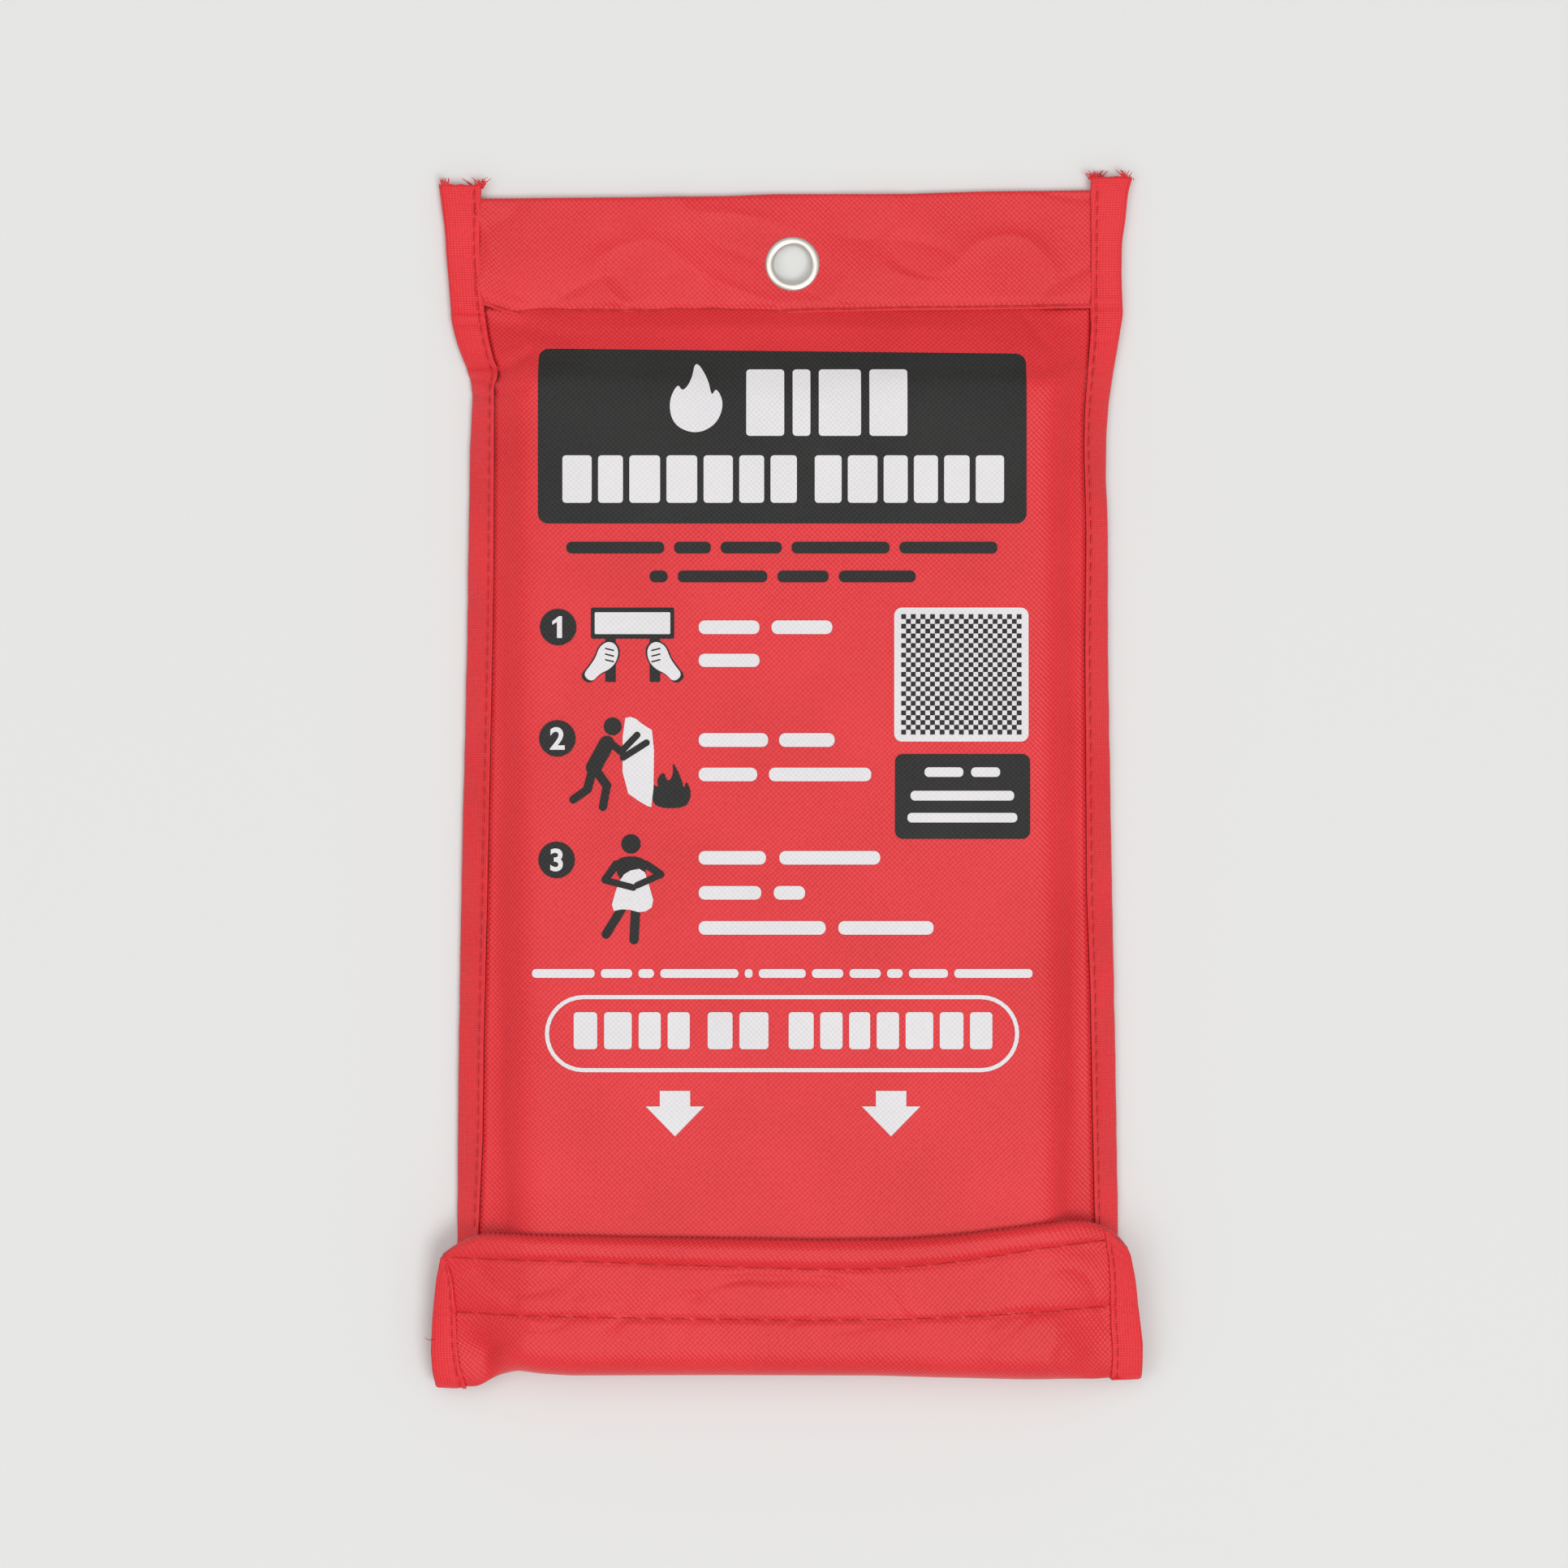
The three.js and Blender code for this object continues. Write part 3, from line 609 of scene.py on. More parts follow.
def front_grid():
    """The settled front made smoother and finer, with furrows and with dips under the flap and tabs."""
    front = settle_front()
    for _ in range(3):
        soft = front.copy()
        near = front[:-2, 1:-1] + front[2:, 1:-1] + front[1:-1, :-2] + front[1:-1, 2:]
        soft[1:-1, 1:-1] = (near + 4 * front[1:-1, 1:-1]) / 8
        front = soft
    front = refine(front)
    x, y, z = (front[..., k] for k in range(3))
    z += 0.12 * ripple(x, y, 30, 3) + 0.10 * creases(x, y, 60, 4)
    for start, end, width, depth in SHOULDER_FURROWS:
        z -= depth * furrow(x, y, start, end, width)
    z[:] = np.where(y < -116, np.minimum(z, flap_height(x, y) - UNDER_FLAP), z)
    z -= 2.0 * pinch(x, y, (-73, -150), 6)
    z -= UNDER_TABS * (smooth((15 - np.abs(np.abs(x) - TAB_X)) / 4) * smooth((-138 - y) / 8))
    return front


front = front_grid()
front_top = Surface(front, CLOTH)
front_obj = slab("front_cloth", front, CLOTH, RED)

# ---------------- the flap and the end
FLAP_ROWS, FACING_ROWS, TOP_TURN_ROWS, BACK_ROWS, END_ROWS = 56, 60, 10, 90, 12
EDGE_DROPS = (1.0, 0.45, 0.12)


def end_middle(x):
    """Height at which the back and the flap meet round the bottom end."""
    return (back_height(x, -150.5 + 0 * x) + flap_height(x, -147.0 + 0 * x)) / 2


def end_turn(steps):
    """The angles of a quarter turn round the bottom end."""
    return [math.pi / 2 * k / steps for k in range(1, steps + 1)]


def flap_grid():
    """The flap from the bottom end, where the back becomes the flap, to its free edge."""
    rows = []
    for k in range(FLAP_ROWS):
        t = k / (FLAP_ROWS - 1)
        xs = mix(-91.2, 91.2, ACROSS)
        y = mix(flap_high(xs), flap_low(xs) + TURN, t)
        xs = mix(flap_left(y) + 0.6, flap_right(y) - 0.6, ACROSS)
        y = mix(flap_high(xs), flap_low(xs) + TURN, t)
        z = flap_height(xs, y)
        if k < len(EDGE_DROPS):
            z = z - EDGE_DROPS[k] * 0.8
        rows.append(np.stack([xs, y, z], 1))
    xs, _, z0 = rows[-1].T
    middle_z = end_middle(xs)
    for a in end_turn(18):
        y = flap_low(xs) + TURN * (1 - math.sin(a))
        z = middle_z + (z0 - middle_z) * math.cos(a) ** 0.85
        rows.append(np.stack([xs, y, z], 1))
    return np.stack(rows)[::-1]


flap = flap_grid()

# ---------------- header
def header_z(x, y):
    z = HEADER_Z + 0.8 + 0.5 * ripple(x, y, 34, 11) + 0.25 * ripple(x, y, 11, 12)
    z = z + 0.7 * creases(x, y, 30, 13) - 0.4 * creases(x, y, 19, 14)
    z = mix(z, HEADER_Z + 0.6, np.exp(-(((x - HOLE[0]) ** 2 + (y - HOLE[1]) ** 2) / 140)))
    above = y - header_low(x)
    sew = np.exp(-((above - 1.3) / 0.9) ** 2)
    lip = np.exp(-((above - 0.2) / 0.7) ** 2)
    return z - 0.35 * sew + 0.3 * lip + 0.25 * smooth(above / 4) * smooth((140 - y) / 12)


def back_grid():
    """The facing, its turn over the top, the back, and the bottom end as far as the flap."""
    x0 = mix(-80.8, 80.4, ACROSS)
    high = header_high(x0) - 0.7
    rows = []
    for k in range(FACING_ROWS):
        y = mix(header_low(x0), high, k / (FACING_ROWS - 1))
        rows.append(np.stack([x0, y, header_z(x0, y)], 1))
    top_z = header_z(x0, header_high(x0))
    for k in range(1, TOP_TURN_ROWS + 1):
        a = math.pi * k / TOP_TURN_ROWS
        z = mix(top_z, BACK_TOP_Z, (1 - math.cos(a)) / 2)
        rows.append(np.stack([x0, high + 0.75 * math.sin(a), z], 1))
    for k in range(1, BACK_ROWS):
        y = mix(high, flap_low(x0) + BACK_TURN, k / (BACK_ROWS - 1))
        xs = mix(np.maximum(left_edge(y) + 3, -84), np.minimum(right_edge(y) - 3, 84), ACROSS)
        rows.append(np.stack([xs, y, back_height(xs, y)], 1))
    last_x, _, last_z = rows[-1].T
    for k, a in enumerate(end_turn(END_ROWS), 1):
        x = mix(last_x, flap[0, :, 0], smooth(k / END_ROWS))
        middle_z = end_middle(x)
        y = flap_low(x) + BACK_TURN * (1 - math.sin(a))
        z = middle_z - (middle_z - last_z) * math.cos(a) ** 0.5
        rows.append(np.stack([x, y, z], 1))
    return np.stack(rows)


back = back_grid()
whole_normals = grid_normals(np.concatenate([back, flap[1:]]))
back_obj = slab("back_cloth", back, CLOTH, RED, whole_normals[:len(back)], "last")


def cut_hole(obj):
    place = (HOLE[0] * MM, HOLE[1] * MM, 0)
    bpy.ops.mesh.primitive_cylinder_add(vertices=64, radius=HOLE_RADIUS * MM, depth=0.04, location=place)
    tool = bpy.context.object
    m = obj.modifiers.new("hole", "BOOLEAN")
    m.operation = "DIFFERENCE"
    m.solver = "EXACT"
    m.object = tool
    bpy.context.view_layer.objects.active = obj
    bpy.ops.object.modifier_apply(modifier="hole")
    bpy.data.objects.remove(tool, do_unlink=True)


cut_hole(back_obj)


# ---------------- flap
flap_top = Surface(flap, CLOTH)
flap_obj = slab("flap_cloth", flap, CLOTH, RED, whole_normals[len(back) - 1:], "first")

# the turned hem under the flap's free edge
HEM_GAP, HEM_BOW = 0.5, 0.6
rows = []
xs = mix(-84, 84, ACROSS)
for k in range(8):
    t = k / 7
    y = mix(hem_row(xs) - 1.2, flap_high(xs) - 0.2, t)
    under = HEM_BOW * math.sin(math.pi * t) ** 0.7
    rows.append(np.stack([xs, y, flap_height(xs, y) - HEM_GAP - under], 1))
hem_obj = slab("flap_turned_hem", np.stack(rows), CLOTH, RED)


def row_path(surface, row, x_from, x_to):
    """Where the needle ran along a row, every half millimetre."""
    count = int(abs(x_to - x_from) / 0.5)
    xs = [mix(x_from, x_to, k / count) for k in range(count + 1)]
    return [surface.at(x, float(row(x))) for x in xs]


# ---------------- side tapes
# each pleat's height up the tape, its depth and its slant
PLEATS = {
    "left": [(120.2, 0.6, 1.5), (117.4, 0.45, -1.0), (105.6, 1.0, 2.2), (102.2, 0.9, 3.0), (98.2, 0.6, 2.5)],
    "right": [(121.6, 0.45, 0.6), (113.0, 0.25, -1.5), (104.6, 0.3, 1.5), (97.5, 0.25, 1.0)],
}


def edge_line(grid, side, x_at, shrink=0.0):
    """Points where a cloth's rows meet the line x = x_at(y)."""
    out = []
    for row in grid:
        x = float(x_at(row[-1 if side > 0 else 0][1])) - side * shrink
        xs, ys, zs = row[np.argsort(row[:, 0])].T
        out.append([x, np.interp(x, xs, ys), np.interp(x, xs, zs)])
    return np.array(out)


def upward(inner, outer):
    up = np.cross(outer - inner, np.gradient(inner, axis=0))
    up /= np.maximum(np.linalg.norm(up, axis=1, keepdims=True), 1e-9)
    return up


def tape_path(p, side):
    """Where the needle ran, on top of a binding."""
    column = 4 if side > 0 else p.shape[1] - 5
    n = grid_normals(p)[:, column]
    return [(Vector(a + b * TAPE / 2), Vector(b)) for a, b in zip(p[:, column], n)]


def bind(side, inner, outer, high, ridge):
    """A tape folded round a cloth's side, as middle points whose normals face outwards."""
    up = upward(inner, outer) * side
    up *= np.sign(up[np.argmax(np.abs(up[:, 2])), 2])
    p = binding(inner, outer, up * high, ridge)
    return p[:, ::-1] if side < 0 else p


def side_lines(side, seam, edge, far_seam, far_edge, top):
    """A side tape's inner and outer lines, from the bottom end to its cut top."""
    ys = np.arange(-151.2, top, 0.7)
    sway = 0.22 * ripple(ys, ys * 0 + side, 7, 21 + side)
    seam_wave = 0.25 * ripple(ys, ys * 0, 9, 31 + side)
    edge_wave = np.abs(0.5 * ripple(ys, ys * 0, 15, 41 + side))
    inner = np.stack([seam(ys) - 0.1 * side, ys, seam_z(ys) + 0.15 + seam_wave], 1)
    outer = np.stack([edge(ys) + sway * 0.5, ys, edge_z(ys) + 0.1 + edge_wave], 1)
    turned = back[-END_ROWS - 1:][::-1]
    low_in, low_out = edge_line(turned, side, seam), edge_line(turned, side, edge, 1.6)
    opened = smooth(np.linspace(1, 0, len(turned)))
    low_out[:, 0] = mix(edge(low_out[:, 1]), far_edge(low_out[:, 1]), opened)
    low_in[:, 0] = mix(seam(low_in[:, 1]), far_seam(low_in[:, 1]), opened)
    fade = np.linspace(0, 1, len(turned))[:, None] ** 0.7
    keep = np.array([1.0, 0.0, 1.0])
    shift_in, shift_out = inner[0] - low_in[-1], outer[0] - low_out[-1]
    low_in, low_out = low_in + shift_in * fade * keep, low_out + shift_out * fade * keep
    joined = low_in[:, 1] < ys[0] - 0.3
    return np.concatenate([low_in[joined], inner]), np.concatenate([low_out[joined], outer])


def side_tape(side, inner, outer, pleats):
    """A side tape's middle points, with its pleats and its ragged top."""
    line = inner[:, 1]
    high = mix(1.1, 2.1, smooth((line - 104) / 12))[:, None]
    high = mix(high, 0.9, smooth((-150 - line) / 3)[:, None])
    p = bind(side, inner, outer, high, 0.35)
    share = np.linspace(1, 0, p.shape[1]) if side < 0 else np.linspace(0, 1, p.shape[1])
    for y0, depth, slant in pleats:
        off = (p[..., 1] - y0 - slant * (share[None, :] - 0.3)) / 0.75
        p[..., 2] -= depth * np.exp(-off ** 2) - 0.6 * depth * np.exp(-(off - 1.9) ** 2)
    p[..., 2] = np.maximum(p[..., 2], LOWEST)
    ragged = 0.5 * ripple(p[-1, :, 0], p[-1, :, 2] * 3, 1.6, 61 + side)
    p[-1, :, 1] += ragged
    p[-2, :, 1] += ragged * 0.4
    return p


def fray(p, k):
    """One loose thread at a tape's cut top; most stand at its corners."""
    corner = k % 5 != 0
    half = p.shape[1] // 2
    column = rnd.choice([0, 1, half - 1, half, -2, -1]) if corner else rnd.randrange(p.shape[1])
    spot = Vector(p[-1, column]) + Vector((rnd.uniform(-0.7, 0.7), 0, 0))
    reach = rnd.uniform(0.6, 2.2) if corner else rnd.uniform(0.2, 0.7)
    way = Vector((rnd.uniform(-0.7, 0.7), 1, rnd.uniform(-0.15, 0.35)))
    bow = Vector((rnd.uniform(-0.6, 0.6), 0, rnd.uniform(-0.2, 0.3)))
    root = Vector((0, 0.5, 0))
    points = [spot + way * reach * t + bow * reach * t * t - root for t in (0, 0.3, 0.6, 0.85, 1.1)]
    for q in points:
        q.z = max(q.z, 0.15)
    return points, [0.15, 0.15, 0.14, 0.12, 0.07]


tapes, fray_runs, seam_runs = [], [], {}
rnd = random.Random(77)
for word, side, seam, edge, far_seam, far_edge, top in (
    ("left", -1, left_seam, left_edge, flap_left_seam, flap_left, 153.9),
    ("right", 1, right_seam, right_edge, flap_right_seam, flap_right, 155.5),
):
    inner, outer = side_lines(side, seam, edge, far_seam, far_edge, top)
    p = side_tape(side, inner, outer, PLEATS[word])
    tapes.append(slab(f"{word}_side_tape", p, TAPE, RED_TAPE))
    path = [q for q in tape_path(p, side) if q[0].y > -118]
    seam_runs[word] = stitches(path, 3.6, share=0.8, radius=0.17, seed=5 + side, slack=0.35)
    fray_runs += [fray(p, k) for k in range(60)]

# the flap's side tapes
flap_tapes = []
for word, side, seam, edge, top in (
    ("left", -1, flap_left_seam, flap_left, -123.6),
    ("right", 1, flap_right_seam, flap_right, -116.4),
):
    inner, outer = edge_line(flap, side, seam), edge_line(flap, side, edge, 0.7)
    outer[:, 0] = edge(outer[:, 1])
    outer[:, 2] -= 0.25
    kept = inner[:, 1] < top
    inner, outer = inner[kept], outer[kept]
    high = mix(0.3, 1.0, smooth((top - inner[:, 1]) / 4.0))[:, None]
    p = bind(side, inner, outer, high, 0.6)
    flap_tapes.append(slab(f"{word}_flap_side_tape", p, TAPE, RED_TAPE))
    path = tape_path(p, side)
    seam_runs[f"{word} flap"] = stitches(path, 3.4, share=0.8, radius=0.15, seed=15 + side, slack=0.3)
fray_spot = Vector((flap_left(-145.3), -145.3, 9.0))
LOOSE_END = ((0.6, 0, 0.2), (-0.6, -0.1, 0.4), (-1.3, 0.1, 0.3), (-1.9, 0.5, 0.0))
loose = [fray_spot + Vector(v) for v in LOOSE_END]
seam_runs["loose"] = [(loose, [0.1, 0.1, 0.09, 0.06])]

flap_threads = strands(
    "flap_stitches",
    stitches(row_path(flap_top, hem_row, -88.5, 86.5), 6.9, share=0.97, seed=11, radius=0.15, slack=0.3)
    + stitches(row_path(flap_top, hook_row, -87.6, 88), 6.3, share=0.97, seed=12, radius=0.16, slack=0.4)
    + seam_runs["left flap"] + seam_runs["right flap"] + seam_runs["loose"],
    RED_THREAD,
)

header_top = Surface(back[:FACING_ROWS], CLOTH)
header_path = row_path(header_top, lambda x: header_low(x) + 0.7, -77.5, 77.5)
pouch_threads = strands(
    "pouch_stitches",
    stitches(header_path, 5.0, share=0.95, radius=0.15, seed=13) + seam_runs["left"] + seam_runs["right"],
    RED_THREAD,
)

frays = strands("frayed_ends", fray_runs, RED_TAPE, sides=5)

# ---------------- print
WORD_GAP, BLOCK_ROUND, INK_CELL, INK_STEP = 0.8, 0.9, 0.8, 0.004


def rounded(x0, y0, x1, y1, r):
    points = []
    centres = ((x1 - r, y1 - r, 0), (x0 + r, y1 - r, 90), (x0 + r, y0 + r, 180), (x1 - r, y0 + r, 270))
    for cx, cy, a0 in centres:
        for k in range(9):
            a = math.radians(a0 + 90 * k / 8)
            points.append((cx + r * math.cos(a), cy + r * math.sin(a)))
    return points


def disc(cx, cy, r):
    turns = [2 * math.pi * k / 40 for k in range(40)]
    return [(cx + r * math.cos(a), cy + r * math.sin(a)) for a in turns]


def stroke(a, b, r):
    """A limb: a thick line with round ends."""
    angle = math.atan2(b[1] - a[1], b[0] - a[0])
    points = []
    for centre, start in ((b, -90), (a, 90)):
        for k in range(11):
            t = angle + math.radians(start + 18 * k)
            points.append((centre[0] + r * math.cos(t), centre[1] + r * math.sin(t)))
    return points


def cut_corners(points, times=3):
    for _ in range(times):
        out = []
        for k, p in enumerate(points):
            q = points[(k + 1) % len(points)]
            out += [(mix(p[0], q[0], t), mix(p[1], q[1], t)) for t in (0.25, 0.75)]
        points = out
    return points


def flame(cx, cy, w, h):
    shape = [(0.0, -0.5), (0.36, -0.36), (0.5, -0.05), (0.36, 0.2), (0.28, 0.05), (0.22, 0.32), (0.0, 0.62),
             (-0.06, 0.3), (-0.22, 0.12), (-0.3, 0.26), (-0.46, -0.02), (-0.38, -0.36)]
    return cut_corners([(cx + a * w, cy + b * h) for a, b in shape])


def words(x0, x1, y0, y1, counts, fill=0.52):
    """Bars in place of a line of words; counts are their relative lengths."""
    unit = (x1 - x0) / (sum(counts) + WORD_GAP * (len(counts) - 1))
    middle, half = (y0 + y1) / 2, (y1 - y0) / 2 * fill
    x, out = x0, []
    for c in counts:
        out.append([rounded(x, middle - half, x + c * unit, middle + half, min(half, c * unit / 2) * 0.9)])
        x += (c + WORD_GAP) * unit
    return out


def blocks(x0, x1, y0, y1, widths, gap=0.22):
    """Upright blocks in place of large letters."""
    unit = (x1 - x0) / (sum(widths) + gap * (len(widths) - 1))
    x, out = x0, []
    for w in widths:
        out.append([rounded(x, y0, x + w * unit, y1, BLOCK_ROUND)])
        x += (w + gap) * unit
    return out


def ink(name, shapes, material, lift):
    """Thin print laid on the front cloth. Each shape is an outline and its holes."""
    points, faces, uvs = [], [], []
    for number, loops in enumerate(shapes):
        rise = lift + INK_STEP * (number % 12)
        bm = bmesh.new()
        edges = []
        for loop in loops:
            verts = [bm.verts.new((x, y, 0)) for x, y in loop]
            edges += [bm.edges.new((verts[k], verts[(k + 1) % len(verts)])) for k in range(len(verts))]
        bmesh.ops.triangle_fill(bm, use_beauty=True, edges=edges, normal=(0, 0, 1))
        for axis in (0, 1):
            low, high = (pick(v.co[axis] for v in bm.verts) for pick in (min, max))
            cut = math.ceil(low / INK_CELL) * INK_CELL + 0.03
            while cut < high:
                place, way = Vector((0, 0, 0)), Vector((0, 0, 0))
                place[axis], way[axis] = cut, 1
                parts = bm.verts[:] + bm.edges[:] + bm.faces[:]
                bmesh.ops.bisect_plane(bm, geom=parts, plane_co=place, plane_no=way)
                cut += INK_CELL
        bm.verts.ensure_lookup_table()
        bm.verts.index_update()
        base = len(points)
        for v in bm.verts:
            points.append(list(front_top.at(v.co.x, v.co.y, rise)[0]))
            uvs.append((v.co.x, v.co.y))
        for face in bm.faces:
            ring = [base + v.index for v in face.verts]
            faces.append(ring[::-1] if face.normal.z < 0 else ring)
        bm.free()
    return make(name, points, faces, uvs, material)


def numeral(text, cx, cy, height):
    """Outlines of a plain digit."""
    data = bpy.data.curves.new("digit", "FONT")
    data.body = text
    data.align_x, data.align_y = "CENTER", "CENTER"
    data.size = height * 1.35
    data.offset = height * 0.035
    obj = add("digit", data)
    mesh = bpy.data.meshes.new_from_object(obj.evaluated_get(bpy.context.evaluated_depsgraph_get()))
    bm = bmesh.new()
    bm.from_mesh(mesh)
    bmesh.ops.remove_doubles(bm, verts=bm.verts, dist=1e-4)
    xs = [v.co.x for v in bm.verts]
    ys = [v.co.y for v in bm.verts]
    dx, dy = cx - (min(xs) + max(xs)) / 2, cy - (min(ys) + max(ys)) / 2
    border = {v: [e.other_vert(v) for e in v.link_edges if len(e.link_faces) == 1] for v in bm.verts}
    start = next(v for v in bm.verts if len(border[v]) == 2)
    loop, last, here = [start], None, start
    while True:
        step = [v for v in border[here] if v is not last][0]
        if step is start:
            break
        loop.append(step)
        last, here = here, step
    points = [(v.co.x + dx, v.co.y + dy) for v in loop]
    bm.free()
    bpy.data.objects.remove(obj, do_unlink=True)
    return points


panel = rounded(-63.9, 64.9, 61.6, 109.4, 2.6)
black = [[[(x, y + (0.15 - 0.011 * x) * smooth((y - 80) / 20)) for x, y in panel]]]
white_on_black = [[flame(-23.5, 96.5, 15, 17.5)]]
white_on_black += blocks(-10.4, 31.0, 87.4, 104.6, [0.9, 0.42, 1, 0.9], gap=0.2)
white_on_black += blocks(-57.6, 2.6, 70.2, 82.4, [1, 0.85, 1.05, 1.05, 1, 0.85, 0.9])
white_on_black += blocks(7.2, 55.8, 70.2, 82.4, [0.95, 1.05, 0.85, 0.85, 0.9, 1.0])
black += words(-56.6, 54.1, 55.8, 61.6, [8, 3, 5, 8, 8])
black += words(-35.2, 33.1, 48.4, 54.2, [1.4, 7, 4, 6])
black += [[disc(-58.7, 38.3, 4.7)], [disc(-58.9, 9.7, 4.7)], [disc(-59.1, -21.5, 4.7)]]
white_on_black += [[[(-58.9 + a, 38.3 + b) for a, b in (
    (-1.3, 1.5), (0.4, 2.8), (1.2, 2.8), (1.2, -2.8), (-0.1, -2.8), (-0.1, 1.3), (-1.3, 0.6))]]]
white_on_black += [[numeral("2", -58.9, 9.7, 5.8)], [numeral("3", -59.1, -21.5, 5.8)]]

# step 1: a wall pouch and two hands on its tabs
black += [[rounded(-50.3, 35.3, -28.9, 43.3, 0.5)], [rounded(-46.6, 24.2, -43.9, 35.3, 0.3)],
          [rounded(-35.2, 24.2, -32.5, 35.3, 0.3)]]
white_on_black += [[rounded(-49.3, 36.5, -29.9, 42.1, 0.3)]]
HAND = [(-7.9, -4.0), (-5.6, -5.9), (-3.4, -3.6), (-1.0, -2.6), (0.9, -0.6), (1.5, 2.2), (0.4, 4.2),
        (-1.6, 4.6), (-3.6, 3.2), (-4.6, 0.4), (-6.0, -1.6)]
for way, cx in ((1, -44.6), (-1, -34.5)):
    wrist = [(cx + way * a * 0.98, 30.0 + b) for a, b in HAND]
    rim = [(cx + way * (a * 1.12 + 0.25), 30.0 + b * 1.1) for a, b in HAND]
    black.append([cut_corners(rim, 2)])
    heights = [1.45 * k for k in range(3)]
    fingers = [stroke((cx + way * 0.1, 29.4 + h), (cx - way * 1.9, 29.9 + h), 0.2) for h in heights]
    white_on_black.append([cut_corners(wrist, 2)] + fingers)
# step 2: a figure holds the blanket before a fire
FIRE = [(-3.2, 0.0), (3.6, 0.0), (5.2, 2.0), (5.4, 4.6), (4.2, 7.2), (3.6, 4.8), (3.0, 7.6), (0.6, 12.4),
        (0.9, 8.4), (-0.6, 6.6), (-1.6, 9.6), (-3.4, 7.4), (-2.9, 5.2), (-4.4, 6.2), (-4.9, 2.6)]
HELD = [(-42.1, 14.8), (-39.5, 15.4), (-36.6, 13.0), (-34.0, 11.6), (-34.3, -8.0), (-36.2, -7.6),
        (-42.2, -3.4)]
black += [
    [disc(-44.7, 12.8, 2.3)], [stroke((-46.2, 8.4), (-49.6, 2.2), 2.0)],
    [stroke((-49.9, 1.4), (-51.2, -3.4), 1.15)], [stroke((-51.2, -3.4), (-54.8, -6.0), 1.05)],
    [stroke((-48.9, 1.4), (-46.2, -2.4), 1.15)], [stroke((-46.2, -2.4), (-47.2, -7.9), 1.05)],
    [stroke((-45.6, 8.8), (-42.4, 6.2), 0.95)], [cut_corners([(-30.0 + a, -8.2 + b) for a, b in FIRE], 2)],
]
white = [[cut_corners(HELD, 1)]]
black_on_white = [[stroke((-42.6, 6.2), (-38.4, 10.6), 0.85)], [stroke((-42.0, 4.8), (-36.0, 8.6), 0.85)]]
# step 3: a figure wrapped in the blanket
CHEST = [(-44.4, -22.6), (-42.4, -20.6), (-37.6, -20.6), (-35.6, -22.6), (-37.2, -27.4), (-42.6, -27.4)]
WRAP = [(-43.4, -27.6), (-41.2, -24.4), (-36.8, -23.6), (-35.4, -27.8), (-33.9, -33.2), (-37.0, -35.2),
        (-41.4, -34.0), (-45.4, -34.8)]
black += [
    [disc(-40.0, -17.4, 2.5)], [cut_corners(CHEST, 2)],
    [stroke((-42.2, -33.8), (-46.4, -40.6), 1.15)], [stroke((-38.8, -34.0), (-39.2, -42.0), 1.2)],
    [stroke((-43.8, -22.6), (-46.6, -26.6), 1.0)], [stroke((-36.2, -22.6), (-32.4, -25.2), 1.0)],
]
white += [[cut_corners(WRAP, 1)]]
black_on_white += [[stroke((-46.4, -26.8), (-39.4, -28.6), 0.85)]]
black_on_white += [[stroke((-32.6, -25.4), (-38.4, -28.0), 0.85)]]
white += words(-22.6, 11.7, 34.9, 41.6, [4, 4]) + words(-22.6, -7.0, 26.5, 33.0, [4])
white += words(-22.6, 12.3, 5.9, 12.7, [5, 4]) + words(-22.6, 21.7, -2.9, 3.8, [4, 7])
white += words(-22.6, 24.0, -24.3, -17.6, [4, 6]) + words(-22.6, 4.7, -33.3, -26.6, [4, 2])
white += words(-22.6, 37.7, -42.3, -35.6, [8, 6])
white += [[rounded(27.6, 8.9, 62.1, 43.3, 2.0)]]
black += [[rounded(27.8, -16.1, 62.5, 5.7, 2.0)]]
white_on_black += words(35.4, 54.8, -1.3, 3.4, [4, 3]) + words(31.8, 58.4, -7.4, -2.6, [9])
white_on_black += words(31.0, 59.2, -13.0, -8.3, [12])
white += words(-65.4, 63.1, -52.9, -48.4, [8, 4, 2, 10, 1, 6, 4, 4, 2, 5, 10], fill=0.5)
white += [[rounded(-62.1, -76.0, 59.7, -56.2, 9.88), rounded(-61.05, -74.95, 58.65, -57.25, 8.83)[::-1]]]
white += blocks(-54.7, -24.9, -70.1, -60.6, [0.85, 1, 0.8, 0.8], gap=0.25)
white += blocks(-20.3, -4.7, -70.1, -60.6, [0.9, 1.05], gap=0.25)
white += blocks(0.5, 52.8, -70.1, -60.6, [0.95, 0.85, 0.8, 0.85, 1.05, 0.9, 0.85], gap=0.25)
ARROW = [(-3.9, -80.8), (-3.9, -84.8), (-7.5, -84.8), (0, -92.5), (7.5, -84.8), (3.9, -84.8), (3.9, -80.8)]
for cx in (-28.7, 26.8):
    white += [[[(cx + a, y) for a, y in ARROW]]]
cells, cell = 25, 1.236
for i in range(cells):
    for j in range(cells):
        if (i + j) % 2 == 0:
            a, b = 29.4 + i * cell, 10.7 + j * cell
            black_on_white.append([[(a, b), (a + cell, b), (a + cell, b + cell), (a, b + cell)]])

prints = [
    ink("print_black", black, INK_BLACK, 0.12),
    ink("print_white", white, INK_WHITE, 0.15),
    ink("print_white_on_black", white_on_black, INK_WHITE, 0.22),
    ink("print_black_on_white", black_on_white, INK_BLACK, 0.22),
]

# ---------------- hook-and-loop
LOOP_LOW, LOOP_HIGH, LOOP_LIFT, STRIP = -139.4, -128.6, 0.3, 0.5


